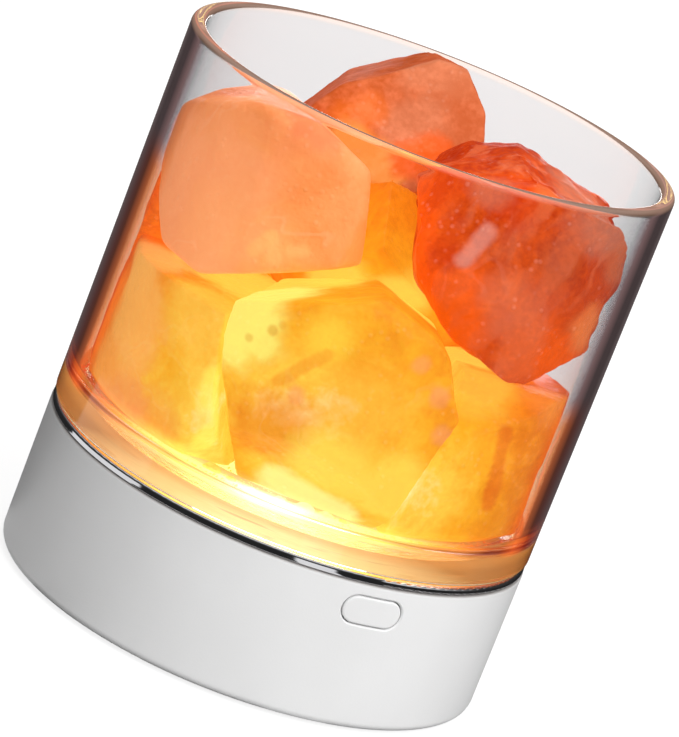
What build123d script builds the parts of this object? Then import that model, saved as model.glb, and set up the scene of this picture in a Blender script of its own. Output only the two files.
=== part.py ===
from build123d import *
import math
import os
from dataclasses import dataclass

# USB night light: a glass cup of salt stones on a white base with a lamp inside.
# Millimetres, +Z up. The origin lies on the table below the lamp's centre.
# The push button is at the front, towards -Y, and the supply socket at the back.

# Overall sizes
LAMP_DIAMETER = 85.0
FOOT_STANDOFF = 0.6
BASE_HEIGHT = 25.4
TRIM_HEIGHT = 1.5
CUP_HEIGHT = 67.7

# Glass cup
CUP_WALL = 2.6
CUP_FLOOR = 4.0
CUP_CORNER_RADIUS = 4.0
CUP_RIM_ROUND = 1.0
CUP_HEEL_ROUND = 1.2

# Bright ring and bonding ring under the glass
TRIM_INSET = 0.15
TRIM_WIDTH = 4.6
TRIM_ROUND = 0.5
ADHESIVE_WINDOW_GAP = 0.4
ADHESIVE_GAP = 0.5

# Base housing
BASE_WALL = 2.2
BASE_HEEL_ROUND = 1.4
BASE_SHOULDER_ROUND = 0.4
DECK_THICKNESS = 1.8

# Window in the deck
WINDOW_DIAMETER = 44.0
WINDOW_LEDGE_WIDTH = 2.0
WINDOW_LEDGE_THICKNESS = 1.6
WINDOW_COLLAR_WALL = 3.0
DIFFUSER_THICKNESS = 1.4
DIFFUSER_CLEARANCE = 0.2

# Push button
BUTTON_LENGTH = 10.5
BUTTON_HEIGHT = 4.8
BUTTON_DROP = 4.6
BUTTON_CLEARANCE = 0.2
BUTTON_EDGE_ROUND = 0.35
BUTTON_HOLE_CHAMFER = 0.25
BUTTON_FLANGE_REACH = 1.9
BUTTON_FLANGE_THICKNESS = 1.0
BUTTON_STEM_DIAMETER = 3.4
BUTTON_STEM_LENGTH = 0.8
BUTTON_SEAT_GAP = 0.05
BUTTON_TRAVEL = 0.4
BUTTON_PAD_DEPTH = 2.1
BUTTON_PAD_MARGIN = 1.6

# Side-push switch
SWITCH_WIDTH = 6.0
SWITCH_DEPTH = 3.5
SWITCH_HEIGHT = 4.5
SWITCH_AXIS_HEIGHT = 3.0
PLUNGER_DIAMETER = 2.4
PLUNGER_REACH = 0.9
PLUNGER_DEPTH = 1.8
PLUNGER_CLEARANCE = 0.05

# Circuit board
BOARD_THICKNESS = 1.6
BOARD_POST_CLEARANCE = 1.1
SWITCH_TAB_WIDTH = 12.0
SOCKET_TAB_WIDTH = 12.0
BOARD_POST_COUNT = 3
BOARD_POST_BEARING = 90.0
BOARD_POST_DIAMETER = 5.2
BOARD_POST_EDGE = 3.6

# Lamps on the board
LED_RING_COUNT = 6
LED_CIRCLE_DIAMETER = 25.0
LED_SIZE = 5.0
LED_HEIGHT = 1.6
LED_CUP_DIAMETER = 3.8
LED_CUP_DEPTH = 0.7
LED_CUP_CLEARANCE = 0.05

# Small electronics on the underside of the board
CHIP_LENGTH = 4.9
CHIP_WIDTH = 3.9
CHIP_HEIGHT = 1.4
CHIP_STANDOFF = 0.15
CHIP_LEAD_COUNT = 4
CHIP_LEAD_PITCH = 1.27
CHIP_LEAD_WIDTH = 0.42
CHIP_LEAD_REACH = 1.0
CHIP_LEAD_THICKNESS = 0.25
CHIP_X = -11.0
RESISTOR_LENGTH = 2.0
RESISTOR_WIDTH = 1.25
RESISTOR_HEIGHT = 0.5
RESISTOR_COLUMNS = 3
RESISTOR_ROWS = 2
RESISTOR_PITCH_X = 4.5
RESISTOR_PITCH_Y = 5.0
RESISTOR_ROW_Y = -12.0
CAPACITOR_DIAMETER = 5.0
CAPACITOR_HEIGHT = 5.4
CAPACITOR_BASE_SIZE = 5.3
CAPACITOR_BASE_HEIGHT = 0.8
CAPACITOR_X = 11.0

# Supply socket
USB_WIDTH = 7.5
USB_HEIGHT = 2.6
USB_LENGTH = 5.4
USB_SHEET = 0.3
USB_BEVEL_WIDTH = 0.9
USB_BEVEL_HEIGHT = 1.1
USB_OVERHANG = 3.0
USB_PORT_CLEARANCE = 0.3
USB_POCKET_WIDTH = 11.5
USB_POCKET_HEIGHT = 7.0
USB_POCKET_ROUND = 2.0
USB_POCKET_DEPTH = 0.9
USB_BACK_THICKNESS = 1.4
USB_TONGUE_WIDTH = 3.7
USB_TONGUE_THICKNESS = 0.7
USB_TONGUE_SETBACK = 0.6
USB_TONGUE_DROP = 0.85
USB_INSERT_CLEARANCE = 0.05
USB_CONTACT_COUNT = 5
USB_CONTACT_PITCH = 0.65
USB_CONTACT_WIDTH = 0.35
USB_CONTACT_THICKNESS = 0.12
USB_CONTACT_LENGTH = 2.6

# Bottom cover, its screws and the feet
COVER_RECESS = 0.4
COVER_THICKNESS = 2.4
COVER_CLEARANCE = 0.2
COVER_POST_COUNT = 4
COVER_POST_BEARING = 45.0
COVER_POST_DIAMETER = 6.4
COVER_POST_INSET = 5.0
COVER_RIB_THICKNESS = 1.6
FOOT_COUNT = 4
FOOT_DIAMETER = 10.0
FOOT_THICKNESS = 1.6
FOOT_INSET = 8.3
FOOT_CLEARANCE = 0.15
FOOT_ROUND = 0.3

# Screws
BOARD_SCREW_DIAMETER = 2.4
BOARD_SCREW_LENGTH = 5.2
BOARD_SCREW_HEAD_DIAMETER = 4.4
BOARD_SCREW_HEAD_HEIGHT = 1.4
COVER_SCREW_DIAMETER = 2.6
COVER_SCREW_LENGTH = 9.0
COVER_SCREW_HEAD_DIAMETER = 4.6
COVER_SCREW_HEAD_HEIGHT = 1.2
SCREW_HOLE_CLEARANCE = 0.2
SCREW_PILOT_CLEARANCE = 0.05
SCREW_TIP_ROOM = 1.0
SCREW_HEAD_CLEARANCE = 0.3
CROSS_LENGTH = 2.4
CROSS_WIDTH = 0.5
CROSS_DEPTH = 0.6

# Salt stones, sized to fill the cup
STONE_SHARE_OF_BORE = 0.5
STONE_GAP = 0.35
STONE_BED_LEAN = 0.45
STONE_WALL_CLEARANCE = 0.3
STONE_FLOOR_CLEARANCE = 0.25
STONE_WALL_FLAT = 1.3
STONE_WALL_SPREAD = 19.0
FACET_COUNT = 11
FACET_TURN = 137.5
FACET_DEPTH = 0.9
FACET_DEPTH_SWING = 0.05
FACET_DEPTH_BEAT = 2.4

# Salt chips on the cup's floor
CRUMB_RADIUS = 1.7
CRUMB_INSET = 5.2

# Heights and radii that follow from these
LAMP_RADIUS = LAMP_DIAMETER / 2
DECK_TOP = FOOT_STANDOFF + BASE_HEIGHT
DECK_UNDERSIDE = DECK_TOP - DECK_THICKNESS
CUP_BOTTOM = DECK_TOP + TRIM_HEIGHT
CUP_FLOOR_TOP = CUP_BOTTOM + CUP_FLOOR
CUP_RIM = CUP_BOTTOM + CUP_HEIGHT
CUP_BORE_RADIUS = LAMP_RADIUS - CUP_WALL
STONE_SIZE = STONE_SHARE_OF_BORE * CUP_BORE_RADIUS
BASE_BORE_RADIUS = LAMP_RADIUS - BASE_WALL
TRIM_RADIUS = LAMP_RADIUS - TRIM_INSET
TRIM_BORE_RADIUS = TRIM_RADIUS - TRIM_WIDTH
ADHESIVE_RADIUS = TRIM_BORE_RADIUS - ADHESIVE_GAP
WINDOW_RADIUS = WINDOW_DIAMETER / 2
REBATE_RADIUS = WINDOW_RADIUS + WINDOW_LEDGE_WIDTH
COLLAR_RADIUS = REBATE_RADIUS + WINDOW_COLLAR_WALL
LEDGE_TOP = DECK_TOP - DIFFUSER_THICKNESS
LEDGE_UNDERSIDE = LEDGE_TOP - WINDOW_LEDGE_THICKNESS

BUTTON_Z = DECK_TOP - BUTTON_DROP
BUTTON_PAD_FACE = -(BASE_BORE_RADIUS - BUTTON_PAD_DEPTH)
BUTTON_FLANGE_FACE = BUTTON_PAD_FACE + BUTTON_SEAT_GAP
BUTTON_FLANGE_BACK = BUTTON_FLANGE_FACE + BUTTON_FLANGE_THICKNESS
BUTTON_FLANGE_LENGTH = BUTTON_LENGTH + 2 * BUTTON_FLANGE_REACH
BUTTON_STEM_TIP = BUTTON_FLANGE_BACK + BUTTON_STEM_LENGTH
PLUNGER_TIP = BUTTON_STEM_TIP + BUTTON_SEAT_GAP
SWITCH_FACE = PLUNGER_TIP + PLUNGER_REACH
PLUNGER_BORE_DEPTH = PLUNGER_DEPTH + BUTTON_TRAVEL + BUTTON_SEAT_GAP

BOARD_TOP = BUTTON_Z - SWITCH_AXIS_HEIGHT
BOARD_UNDERSIDE = BOARD_TOP - BOARD_THICKNESS
COVER_UNDERSIDE = FOOT_STANDOFF + COVER_RECESS
COVER_TOP = COVER_UNDERSIDE + COVER_THICKNESS
COVER_POST_RADIUS = BASE_BORE_RADIUS - COVER_POST_INSET
BOARD_RADIUS = COVER_POST_RADIUS - COVER_POST_DIAMETER / 2 - BOARD_POST_CLEARANCE
BOARD_POST_RADIUS = BOARD_RADIUS - BOARD_POST_EDGE
FOOT_RADIUS = BASE_BORE_RADIUS - FOOT_INSET
USB_MOUTH = LAMP_RADIUS - USB_POCKET_DEPTH
USB_BACK = USB_MOUTH - USB_LENGTH
USB_AXIS_Z = BOARD_UNDERSIDE - USB_HEIGHT / 2
SOCKET_TAB_END = USB_MOUTH - USB_OVERHANG
LED_TOP = BOARD_TOP + LED_HEIGHT
LED_CUP_BASE = LED_TOP - LED_CUP_DEPTH

os.makedirs("parts", exist_ok=True)


@dataclass(frozen=True)
class Screw:
    """A cross-head screw that points up, with its sizes."""

    diameter: float
    length: float
    head_diameter: float
    head_height: float


def spot_in_cup(bearing, inset, height):
    """A point in the cup, by its bearing, its inset from the bore and its height over the floor."""
    reach = CUP_BORE_RADIUS - inset
    angle = math.radians(bearing)
    return Vector(reach * math.cos(angle), reach * math.sin(angle), CUP_FLOOR_TOP + height)


@dataclass(frozen=True)
class Stone:
    """A lump of salt, with its lengths in stone sizes.

    Bearing, inset and height place its centre in the cup. Turn and phase set the even facets all
    round it. Struck lists single facets, each with a bearing, a tilt and a depth from the centre.
    A loose stone lifts straight out of the pile.
    """

    name: str
    bearing: float
    inset: float
    height: float
    radius: float
    turn: float
    phase: float
    loose: bool = False
    struck: tuple = ()

    def centre(self):
        """The middle of the ball that the lump is cut from."""
        return spot_in_cup(self.bearing, self.inset * STONE_SIZE, self.height * STONE_SIZE)

    def ball_radius(self):
        """The radius of that ball."""
        return self.radius * STONE_SIZE

    def struck_facets(self):
        """The single facets as planes."""
        centre = self.centre()
        return [facet(centre, bearing, tilt, depth * STONE_SIZE) for bearing, tilt, depth in self.struck]


BOARD_SCREW = Screw(
    BOARD_SCREW_DIAMETER, BOARD_SCREW_LENGTH, BOARD_SCREW_HEAD_DIAMETER, BOARD_SCREW_HEAD_HEIGHT
)
COVER_SCREW = Screw(
    COVER_SCREW_DIAMETER, COVER_SCREW_LENGTH, COVER_SCREW_HEAD_DIAMETER, COVER_SCREW_HEAD_HEIGHT
)

STONES = (
    Stone(
        "top_left_stone", bearing=-173, inset=0.71, height=2.08,
        radius=1.2, turn=341, phase=3.72, loose=True,
        struck=(
            (-114, 6, 0.9), (145, 49, 0.93), (143, 62, 0.88), (78, 83, 0.85), (0, 64, 0.81),
            (-20, 15, 0.84), (-49, -64, 0.55), (-171, -65, 0.77), (161, -23, 0.78), (162, -12, 0.83),
        ),
    ),
    Stone(
        "top_back_stone", bearing=70, inset=0.99, height=2.38,
        radius=1.1, turn=41, phase=0.88, loose=True,
        struck=(
            (-119, 35, 0.75), (149, 33, 0.84), (145, 56, 0.81),
            (58, 83, 0.98), (-18, 42, 0.88), (-25, 18, 0.76),
        ),
    ),
    Stone(
        "top_right_stone", bearing=-51, inset=0.83, height=2.23,
        radius=1.2, turn=171, phase=5.22, loose=True,
        struck=(
            (-104, 8, 0.93), (147, 44, 1.09), (140, 71, 1.01), (-7, 75, 0.86), (-21, 41, 0.94),
            (-29, -5, 0.8), (-37, -43, 0.83), (-74, -77, 0.85), (165, -56, 0.69), (156, -21, 0.82),
        ),
    ),
    Stone(
        "lower_left_stone", bearing=-176, inset=0.6, height=0.58, radius=1.23, turn=91, phase=0.62,
        struck=((-124, 14, 1.03), (156, 10, 0.78), (-79, -30, 0.99)),
    ),
    Stone(
        "lower_front_stone", bearing=-113, inset=0.99, height=0.93, radius=1.3, turn=281, phase=2.12,
        struck=(
            (-119, 2, 0.93), (-121, -38, 0.94), (161, -27, 0.92), (18, 76, 1.01),
            (-12, 59, 0.92), (-16, 42, 0.92), (-22, 28, 0.93),
        ),
    ),
    Stone(
        "lower_right_stone", bearing=-57, inset=0.54, height=0.63, radius=1.2, turn=1, phase=4.87,
        struck=((-124, 58, 0.81), (-149, 30, 0.83)),
    ),
    Stone("lower_back_left_stone", bearing=100, inset=0.65, height=0.73, radius=1.14, turn=231, phase=2.39),
    Stone("lower_back_right_stone", bearing=27, inset=0.67, height=0.73, radius=1.14, turn=121, phase=5.49),
    Stone("core_stone", bearing=28, inset=1.82, height=1.8, radius=1.08, turn=66, phase=0.75),
    Stone("wedge_stone", bearing=144, inset=0.33, height=1.55, radius=0.78, turn=331, phase=0.0),
)

# Bearing and relative size of each crumb on the floor
CRUMBS = (
    (-139, 1.0), (-133, 0.6), (-127, 0.5), (-119, 0.7), (-112, 1.0), (-106, 0.8), (-101, 0.5),
    (-20, 0.9), (-14, 0.9), (-9, 0.5), (65, 0.9), (72, 0.6), (138, 0.9),
)


def facing_front(y, z=0.0):
    """A plane that faces -Y, with X to its right and Z up."""
    return Plane(origin=(0, y, z), x_dir=(1, 0, 0), z_dir=(0, -1, 0))


# Rubber feet, let into the cover
with BuildPart() as rubber_feet:
    with BuildSketch():
        with PolarLocations(FOOT_RADIUS, FOOT_COUNT):
            Circle(FOOT_DIAMETER / 2)
    extrude(amount=FOOT_THICKNESS)
    fillet(rubber_feet.edges().group_by(Axis.Z)[0], FOOT_ROUND)
rubber_feet.part.label = "rubber_feet"
export_step(rubber_feet.part, "parts/rubber_feet.step")

# Bottom cover, with pockets for the feet and sunk screw holes
with BuildPart() as bottom_cover:
    with BuildSketch(Plane.XY.offset(COVER_UNDERSIDE)):
        Circle(BASE_BORE_RADIUS - COVER_CLEARANCE)
    extrude(amount=COVER_THICKNESS)
    with BuildSketch(Plane.XY.offset(COVER_UNDERSIDE)):
        with PolarLocations(FOOT_RADIUS, FOOT_COUNT):
            Circle(FOOT_DIAMETER / 2 + FOOT_CLEARANCE)
    extrude(amount=FOOT_THICKNESS - COVER_UNDERSIDE, mode=Mode.SUBTRACT)
    with BuildSketch(Plane.XY.offset(COVER_UNDERSIDE)):
        with PolarLocations(COVER_POST_RADIUS, COVER_POST_COUNT, start_angle=COVER_POST_BEARING):
            Circle(COVER_SCREW.head_diameter / 2 + SCREW_HEAD_CLEARANCE)
    extrude(amount=COVER_SCREW.head_height, mode=Mode.SUBTRACT)
    with BuildSketch(Plane.XY.offset(COVER_UNDERSIDE)):
        with PolarLocations(COVER_POST_RADIUS, COVER_POST_COUNT, start_angle=COVER_POST_BEARING):
            Circle(COVER_SCREW.diameter / 2 + SCREW_HOLE_CLEARANCE)
    extrude(amount=COVER_THICKNESS, mode=Mode.SUBTRACT)
bottom_cover.part.label = "bottom_cover"
export_step(bottom_cover.part, "parts/bottom_cover.step")

# Base housing: a drum with a deck, posts for the board and the cover, and its openings
with BuildPart() as base_housing:
    with BuildSketch(Plane.XZ) as housing_profile:
        with BuildLine():
            Polyline(
                (WINDOW_RADIUS, DECK_TOP),
                (LAMP_RADIUS, DECK_TOP),
                (LAMP_RADIUS, FOOT_STANDOFF),
                (BASE_BORE_RADIUS, FOOT_STANDOFF),
                (BASE_BORE_RADIUS, DECK_UNDERSIDE),
                (COLLAR_RADIUS, DECK_UNDERSIDE),
                (COLLAR_RADIUS, LEDGE_UNDERSIDE),
                (WINDOW_RADIUS, LEDGE_UNDERSIDE),
                close=True,
            )
        make_face()
        outer_corners = housing_profile.vertices().group_by(Axis.X)[-1].sort_by(Axis.Y)
        fillet(outer_corners[-1], BASE_SHOULDER_ROUND)
        outer_corners = housing_profile.vertices().group_by(Axis.X)[-1].sort_by(Axis.Y)
        fillet(outer_corners[0], BASE_HEEL_ROUND)
    revolve(axis=Axis.Z)
    # Posts for the board, with pilot holes
    with BuildSketch(Plane.XY.offset(BOARD_TOP)):
        with PolarLocations(BOARD_POST_RADIUS, BOARD_POST_COUNT, start_angle=BOARD_POST_BEARING):
            Circle(BOARD_POST_DIAMETER / 2)
    extrude(amount=DECK_UNDERSIDE - BOARD_TOP + DECK_THICKNESS / 2)
    with BuildSketch(Plane.XY.offset(BOARD_TOP)):
        with PolarLocations(BOARD_POST_RADIUS, BOARD_POST_COUNT, start_angle=BOARD_POST_BEARING):
            Circle(BOARD_SCREW.diameter / 2 + SCREW_PILOT_CLEARANCE)
    extrude(amount=BOARD_SCREW.length - BOARD_THICKNESS + SCREW_TIP_ROOM, mode=Mode.SUBTRACT)
    # Ribbed posts for the cover, with pilot holes
    with BuildSketch(Plane.XY.offset(COVER_TOP)):
        with PolarLocations(COVER_POST_RADIUS, COVER_POST_COUNT, start_angle=COVER_POST_BEARING):
            Circle(COVER_POST_DIAMETER / 2)
            Rectangle(
                COVER_POST_INSET + BASE_WALL / 2, COVER_RIB_THICKNESS, align=(Align.MIN, Align.CENTER)
            )
    extrude(amount=DECK_UNDERSIDE - COVER_TOP + DECK_THICKNESS / 2)
    with BuildSketch(Plane.XY.offset(COVER_TOP)):
        with PolarLocations(COVER_POST_RADIUS, COVER_POST_COUNT, start_angle=COVER_POST_BEARING):
            Circle(COVER_SCREW.diameter / 2 + SCREW_PILOT_CLEARANCE)
    extrude(amount=COVER_SCREW.length - COVER_THICKNESS + COVER_SCREW.head_height + SCREW_TIP_ROOM,
            mode=Mode.SUBTRACT)
    # Rebate for the window
    with BuildSketch(Plane.XY.offset(LEDGE_TOP)):
        Circle(REBATE_RADIUS)
    extrude(amount=DIFFUSER_THICKNESS, mode=Mode.SUBTRACT)
    # Flat pad behind the button, with room for the flange
    with BuildSketch(facing_front(BUTTON_PAD_FACE, BUTTON_Z)):
        Rectangle(BUTTON_FLANGE_LENGTH + 2 * BUTTON_PAD_MARGIN, BUTTON_HEIGHT + 2 * BUTTON_PAD_MARGIN)
    extrude(amount=BUTTON_PAD_DEPTH + BASE_WALL / 3)
    with BuildSketch(facing_front(BUTTON_PAD_FACE, BUTTON_Z)):
        Rectangle(BUTTON_FLANGE_LENGTH + 2 * BUTTON_CLEARANCE, BUTTON_HEIGHT + 2 * BUTTON_CLEARANCE)
    extrude(amount=-(BUTTON_FLANGE_THICKNESS + BUTTON_TRAVEL + BUTTON_CLEARANCE), mode=Mode.SUBTRACT)
    with BuildSketch(facing_front(BUTTON_PAD_FACE, BUTTON_Z)):
        SlotOverall(BUTTON_LENGTH + 2 * BUTTON_CLEARANCE, BUTTON_HEIGHT + 2 * BUTTON_CLEARANCE)
    extrude(amount=LAMP_RADIUS, mode=Mode.SUBTRACT)
    outer_wall = base_housing.faces().filter_by(GeomType.CYLINDER).sort_by(SortBy.AREA)[-1]
    chamfer(outer_wall.inner_wires()[0].edges(), BUTTON_HOLE_CHAMFER)
    # Supply socket's port, in a shallow pocket
    with BuildSketch(facing_front(USB_MOUTH, USB_AXIS_Z)):
        RectangleRounded(USB_POCKET_WIDTH, USB_POCKET_HEIGHT, USB_POCKET_ROUND)
    extrude(amount=-LAMP_RADIUS, mode=Mode.SUBTRACT)
    with BuildSketch(facing_front(USB_MOUTH, USB_AXIS_Z)):
        Rectangle(USB_WIDTH + 2 * USB_PORT_CLEARANCE, USB_HEIGHT + 2 * USB_PORT_CLEARANCE)
    extrude(amount=USB_MOUTH - USB_BACK, mode=Mode.SUBTRACT)
base_housing.part.label = "base_housing"
export_step(base_housing.part, "parts/base_housing.step")

# Frosted window in the deck
with BuildPart() as diffuser_window:
    with BuildSketch(Plane.XY.offset(LEDGE_TOP)):
        Circle(REBATE_RADIUS - DIFFUSER_CLEARANCE)
    extrude(amount=DIFFUSER_THICKNESS)
diffuser_window.part.label = "diffuser_window"
export_step(diffuser_window.part, "parts/diffuser_window.step")

# Bright ring between base and glass
with BuildPart() as trim_ring:
    with BuildSketch(Plane.XZ) as trim_profile:
        with BuildLine():
            Polyline(
                (TRIM_BORE_RADIUS, DECK_TOP),
                (TRIM_RADIUS, DECK_TOP),
                (TRIM_RADIUS, CUP_BOTTOM),
                (TRIM_BORE_RADIUS, CUP_BOTTOM),
                close=True,
            )
        make_face()
        fillet(trim_profile.vertices().group_by(Axis.X)[-1], TRIM_ROUND)
    revolve(axis=Axis.Z)
trim_ring.part.label = "trim_ring"
export_step(trim_ring.part, "parts/trim_ring.step")

# Bonding ring that holds the glass to the deck
with BuildPart() as cup_adhesive:
    with BuildSketch(Plane.XY.offset(DECK_TOP)):
        Circle(ADHESIVE_RADIUS)
        Circle(REBATE_RADIUS + ADHESIVE_WINDOW_GAP, mode=Mode.SUBTRACT)
    extrude(amount=TRIM_HEIGHT)
cup_adhesive.part.label = "cup_adhesive"
export_step(cup_adhesive.part, "parts/cup_adhesive.step")

# Glass cup
with BuildPart() as glass_cup:
    with BuildSketch(Plane.XZ) as cup_profile:
        with BuildLine():
            Polyline(
                (0, CUP_BOTTOM),
                (LAMP_RADIUS, CUP_BOTTOM),
                (LAMP_RADIUS, CUP_RIM),
                (CUP_BORE_RADIUS, CUP_RIM),
                (CUP_BORE_RADIUS, CUP_FLOOR_TOP),
                (0, CUP_FLOOR_TOP),
                close=True,
            )
        make_face()
        fillet(cup_profile.vertices().group_by(Axis.Y)[-1], CUP_RIM_ROUND)
        fillet(cup_profile.vertices().group_by(Axis.Y)[0].sort_by(Axis.X)[-1], CUP_HEEL_ROUND)
        fillet(cup_profile.vertices().group_by(Axis.X)[1].sort_by(Axis.Y)[0], CUP_CORNER_RADIUS)
    revolve(axis=Axis.Z)
glass_cup.part.label = "glass_cup"
export_step(glass_cup.part, "parts/glass_cup.step")

# Circuit board, with a tab for the switch and one for the socket
with BuildPart() as light_board:
    with BuildSketch(Plane.XY.offset(BOARD_UNDERSIDE)):
        Circle(BOARD_RADIUS)
        Rectangle(SWITCH_TAB_WIDTH, -SWITCH_FACE, align=(Align.CENTER, Align.MAX))
        Rectangle(SOCKET_TAB_WIDTH, SOCKET_TAB_END, align=(Align.CENTER, Align.MIN))
        with PolarLocations(BOARD_POST_RADIUS, BOARD_POST_COUNT, start_angle=BOARD_POST_BEARING):
            Circle(BOARD_SCREW.diameter / 2 + SCREW_HOLE_CLEARANCE, mode=Mode.SUBTRACT)
    extrude(amount=BOARD_THICKNESS)
light_board.part.label = "light_board"
export_step(light_board.part, "parts/light_board.step")

# Lamps: one in the middle and a ring round it
with BuildPart() as led_packages:
    with BuildSketch(Plane.XY.offset(BOARD_TOP)):
        Rectangle(LED_SIZE, LED_SIZE)
        with PolarLocations(LED_CIRCLE_DIAMETER / 2, LED_RING_COUNT):
            Rectangle(LED_SIZE, LED_SIZE)
    extrude(amount=LED_HEIGHT)
    with BuildSketch(Plane.XY.offset(LED_CUP_BASE)):
        Circle(LED_CUP_DIAMETER / 2)
        with PolarLocations(LED_CIRCLE_DIAMETER / 2, LED_RING_COUNT):
            Circle(LED_CUP_DIAMETER / 2)
    extrude(amount=LED_CUP_DEPTH, mode=Mode.SUBTRACT)
led_packages.part.label = "led_packages"
export_step(led_packages.part, "parts/led_packages.step")

# Yellow fillings of the lamps
with BuildPart() as led_phosphors:
    with BuildSketch(Plane.XY.offset(LED_CUP_BASE)):
        Circle(LED_CUP_DIAMETER / 2 - LED_CUP_CLEARANCE)
        with PolarLocations(LED_CIRCLE_DIAMETER / 2, LED_RING_COUNT):
            Circle(LED_CUP_DIAMETER / 2 - LED_CUP_CLEARANCE)
    extrude(amount=LED_CUP_DEPTH - LED_CUP_CLEARANCE)
led_phosphors.part.label = "led_phosphors"
export_step(led_phosphors.part, "parts/led_phosphors.step")

# Control chip with its bent leads
with BuildPart() as control_chip:
    chip_top = BOARD_UNDERSIDE - CHIP_STANDOFF
    lead_span = CHIP_WIDTH + 2 * CHIP_LEAD_REACH
    with BuildSketch(Plane.XY.offset(chip_top)):
        with Locations((CHIP_X, 0)):
            Rectangle(CHIP_LENGTH, CHIP_WIDTH)
    extrude(amount=-CHIP_HEIGHT)
    # Each lead runs out of the body's middle, turns up to the board and lies flat on it
    with BuildSketch(Plane.XY.offset(chip_top - CHIP_HEIGHT / 2)):
        with Locations((CHIP_X, 0)):
            with GridLocations(CHIP_LEAD_PITCH, 0, CHIP_LEAD_COUNT, 1):
                Rectangle(CHIP_LEAD_WIDTH, lead_span - CHIP_LEAD_REACH)
    extrude(amount=CHIP_LEAD_THICKNESS / 2, both=True)
    with BuildSketch(Plane.XY.offset(BOARD_UNDERSIDE)):
        with Locations((CHIP_X, 0)):
            with GridLocations(CHIP_LEAD_PITCH, lead_span - CHIP_LEAD_REACH, CHIP_LEAD_COUNT, 2):
                Rectangle(CHIP_LEAD_WIDTH, CHIP_LEAD_THICKNESS)
    extrude(amount=-(CHIP_STANDOFF + CHIP_HEIGHT / 2 + CHIP_LEAD_THICKNESS / 2))
    with BuildSketch(Plane.XY.offset(BOARD_UNDERSIDE)):
        with Locations((CHIP_X, 0)):
            with GridLocations(CHIP_LEAD_PITCH, lead_span - CHIP_LEAD_REACH / 2, CHIP_LEAD_COUNT, 2):
                Rectangle(CHIP_LEAD_WIDTH, CHIP_LEAD_REACH)
    extrude(amount=-CHIP_LEAD_THICKNESS)
control_chip.part.label = "control_chip"
export_step(control_chip.part, "parts/control_chip.step")

# Resistors in two rows
with BuildPart() as chip_resistors:
    with BuildSketch(Plane.XY.offset(BOARD_UNDERSIDE)):
        with Locations((0, RESISTOR_ROW_Y)):
            with GridLocations(RESISTOR_PITCH_X, RESISTOR_PITCH_Y, RESISTOR_COLUMNS, RESISTOR_ROWS):
                Rectangle(RESISTOR_LENGTH, RESISTOR_WIDTH)
    extrude(amount=-RESISTOR_HEIGHT)
chip_resistors.part.label = "chip_resistors"
export_step(chip_resistors.part, "parts/chip_resistors.step")

# Can capacitor on its square foot
with BuildPart() as filter_capacitor:
    with BuildSketch(Plane.XY.offset(BOARD_UNDERSIDE)):
        with Locations((CAPACITOR_X, 0)):
            Rectangle(CAPACITOR_BASE_SIZE, CAPACITOR_BASE_SIZE)
    extrude(amount=-CAPACITOR_BASE_HEIGHT)
    with BuildSketch(Plane.XY.offset(BOARD_UNDERSIDE)):
        with Locations((CAPACITOR_X, 0)):
            Circle(CAPACITOR_DIAMETER / 2)
    extrude(amount=-CAPACITOR_HEIGHT)
filter_capacitor.part.label = "filter_capacitor"
export_step(filter_capacitor.part, "parts/filter_capacitor.step")

# Side-push switch
with BuildPart() as switch_body:
    with BuildSketch(facing_front(SWITCH_FACE, BOARD_TOP)):
        Rectangle(SWITCH_WIDTH, SWITCH_HEIGHT, align=(Align.CENTER, Align.MIN))
    extrude(amount=-SWITCH_DEPTH)
    with BuildSketch(facing_front(SWITCH_FACE, BUTTON_Z)):
        Circle(PLUNGER_DIAMETER / 2 + PLUNGER_CLEARANCE)
    extrude(amount=-PLUNGER_BORE_DEPTH, mode=Mode.SUBTRACT)
switch_body.part.label = "switch_body"
export_step(switch_body.part, "parts/switch_body.step")

with BuildPart() as switch_plunger:
    with BuildSketch(facing_front(PLUNGER_TIP, BUTTON_Z)):
        Circle(PLUNGER_DIAMETER / 2)
    extrude(amount=-(PLUNGER_REACH + PLUNGER_DEPTH))
switch_plunger.part.label = "switch_plunger"
export_step(switch_plunger.part, "parts/switch_plunger.step")

# Button cap, with its face on the base's own curve
with BuildPart() as button_cap:
    with BuildSketch(facing_front(BUTTON_FLANGE_FACE, BUTTON_Z)):
        SlotOverall(BUTTON_LENGTH, BUTTON_HEIGHT)
    extrude(amount=LAMP_RADIUS)
    with Locations((0, 0, BUTTON_Z)):
        Cylinder(LAMP_RADIUS, 2 * BUTTON_HEIGHT, mode=Mode.INTERSECT)
    button_face = button_cap.faces().sort_by(Axis.Y)[0]
    fillet(button_face.edges(), BUTTON_EDGE_ROUND)
    with BuildSketch(facing_front(BUTTON_FLANGE_FACE, BUTTON_Z)):
        Rectangle(BUTTON_FLANGE_LENGTH, BUTTON_HEIGHT)
    extrude(amount=-BUTTON_FLANGE_THICKNESS)
    with BuildSketch(facing_front(BUTTON_FLANGE_BACK, BUTTON_Z)):
        Circle(BUTTON_STEM_DIAMETER / 2)
    extrude(amount=-BUTTON_STEM_LENGTH)
button_cap.part.label = "button_cap"
export_step(button_cap.part, "parts/button_cap.step")


def socket_outline():
    """Outline of the supply socket's shell, hung under the board, with two bevelled corners."""
    half = USB_WIDTH / 2
    with BuildSketch() as outline:
        with BuildLine():
            Polyline(
                (-half, 0),
                (-half, USB_BEVEL_HEIGHT - USB_HEIGHT),
                (USB_BEVEL_WIDTH - half, -USB_HEIGHT),
                (half - USB_BEVEL_WIDTH, -USB_HEIGHT),
                (half, USB_BEVEL_HEIGHT - USB_HEIGHT),
                (half, 0),
                close=True,
            )
        make_face()
    return outline.sketch


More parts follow.
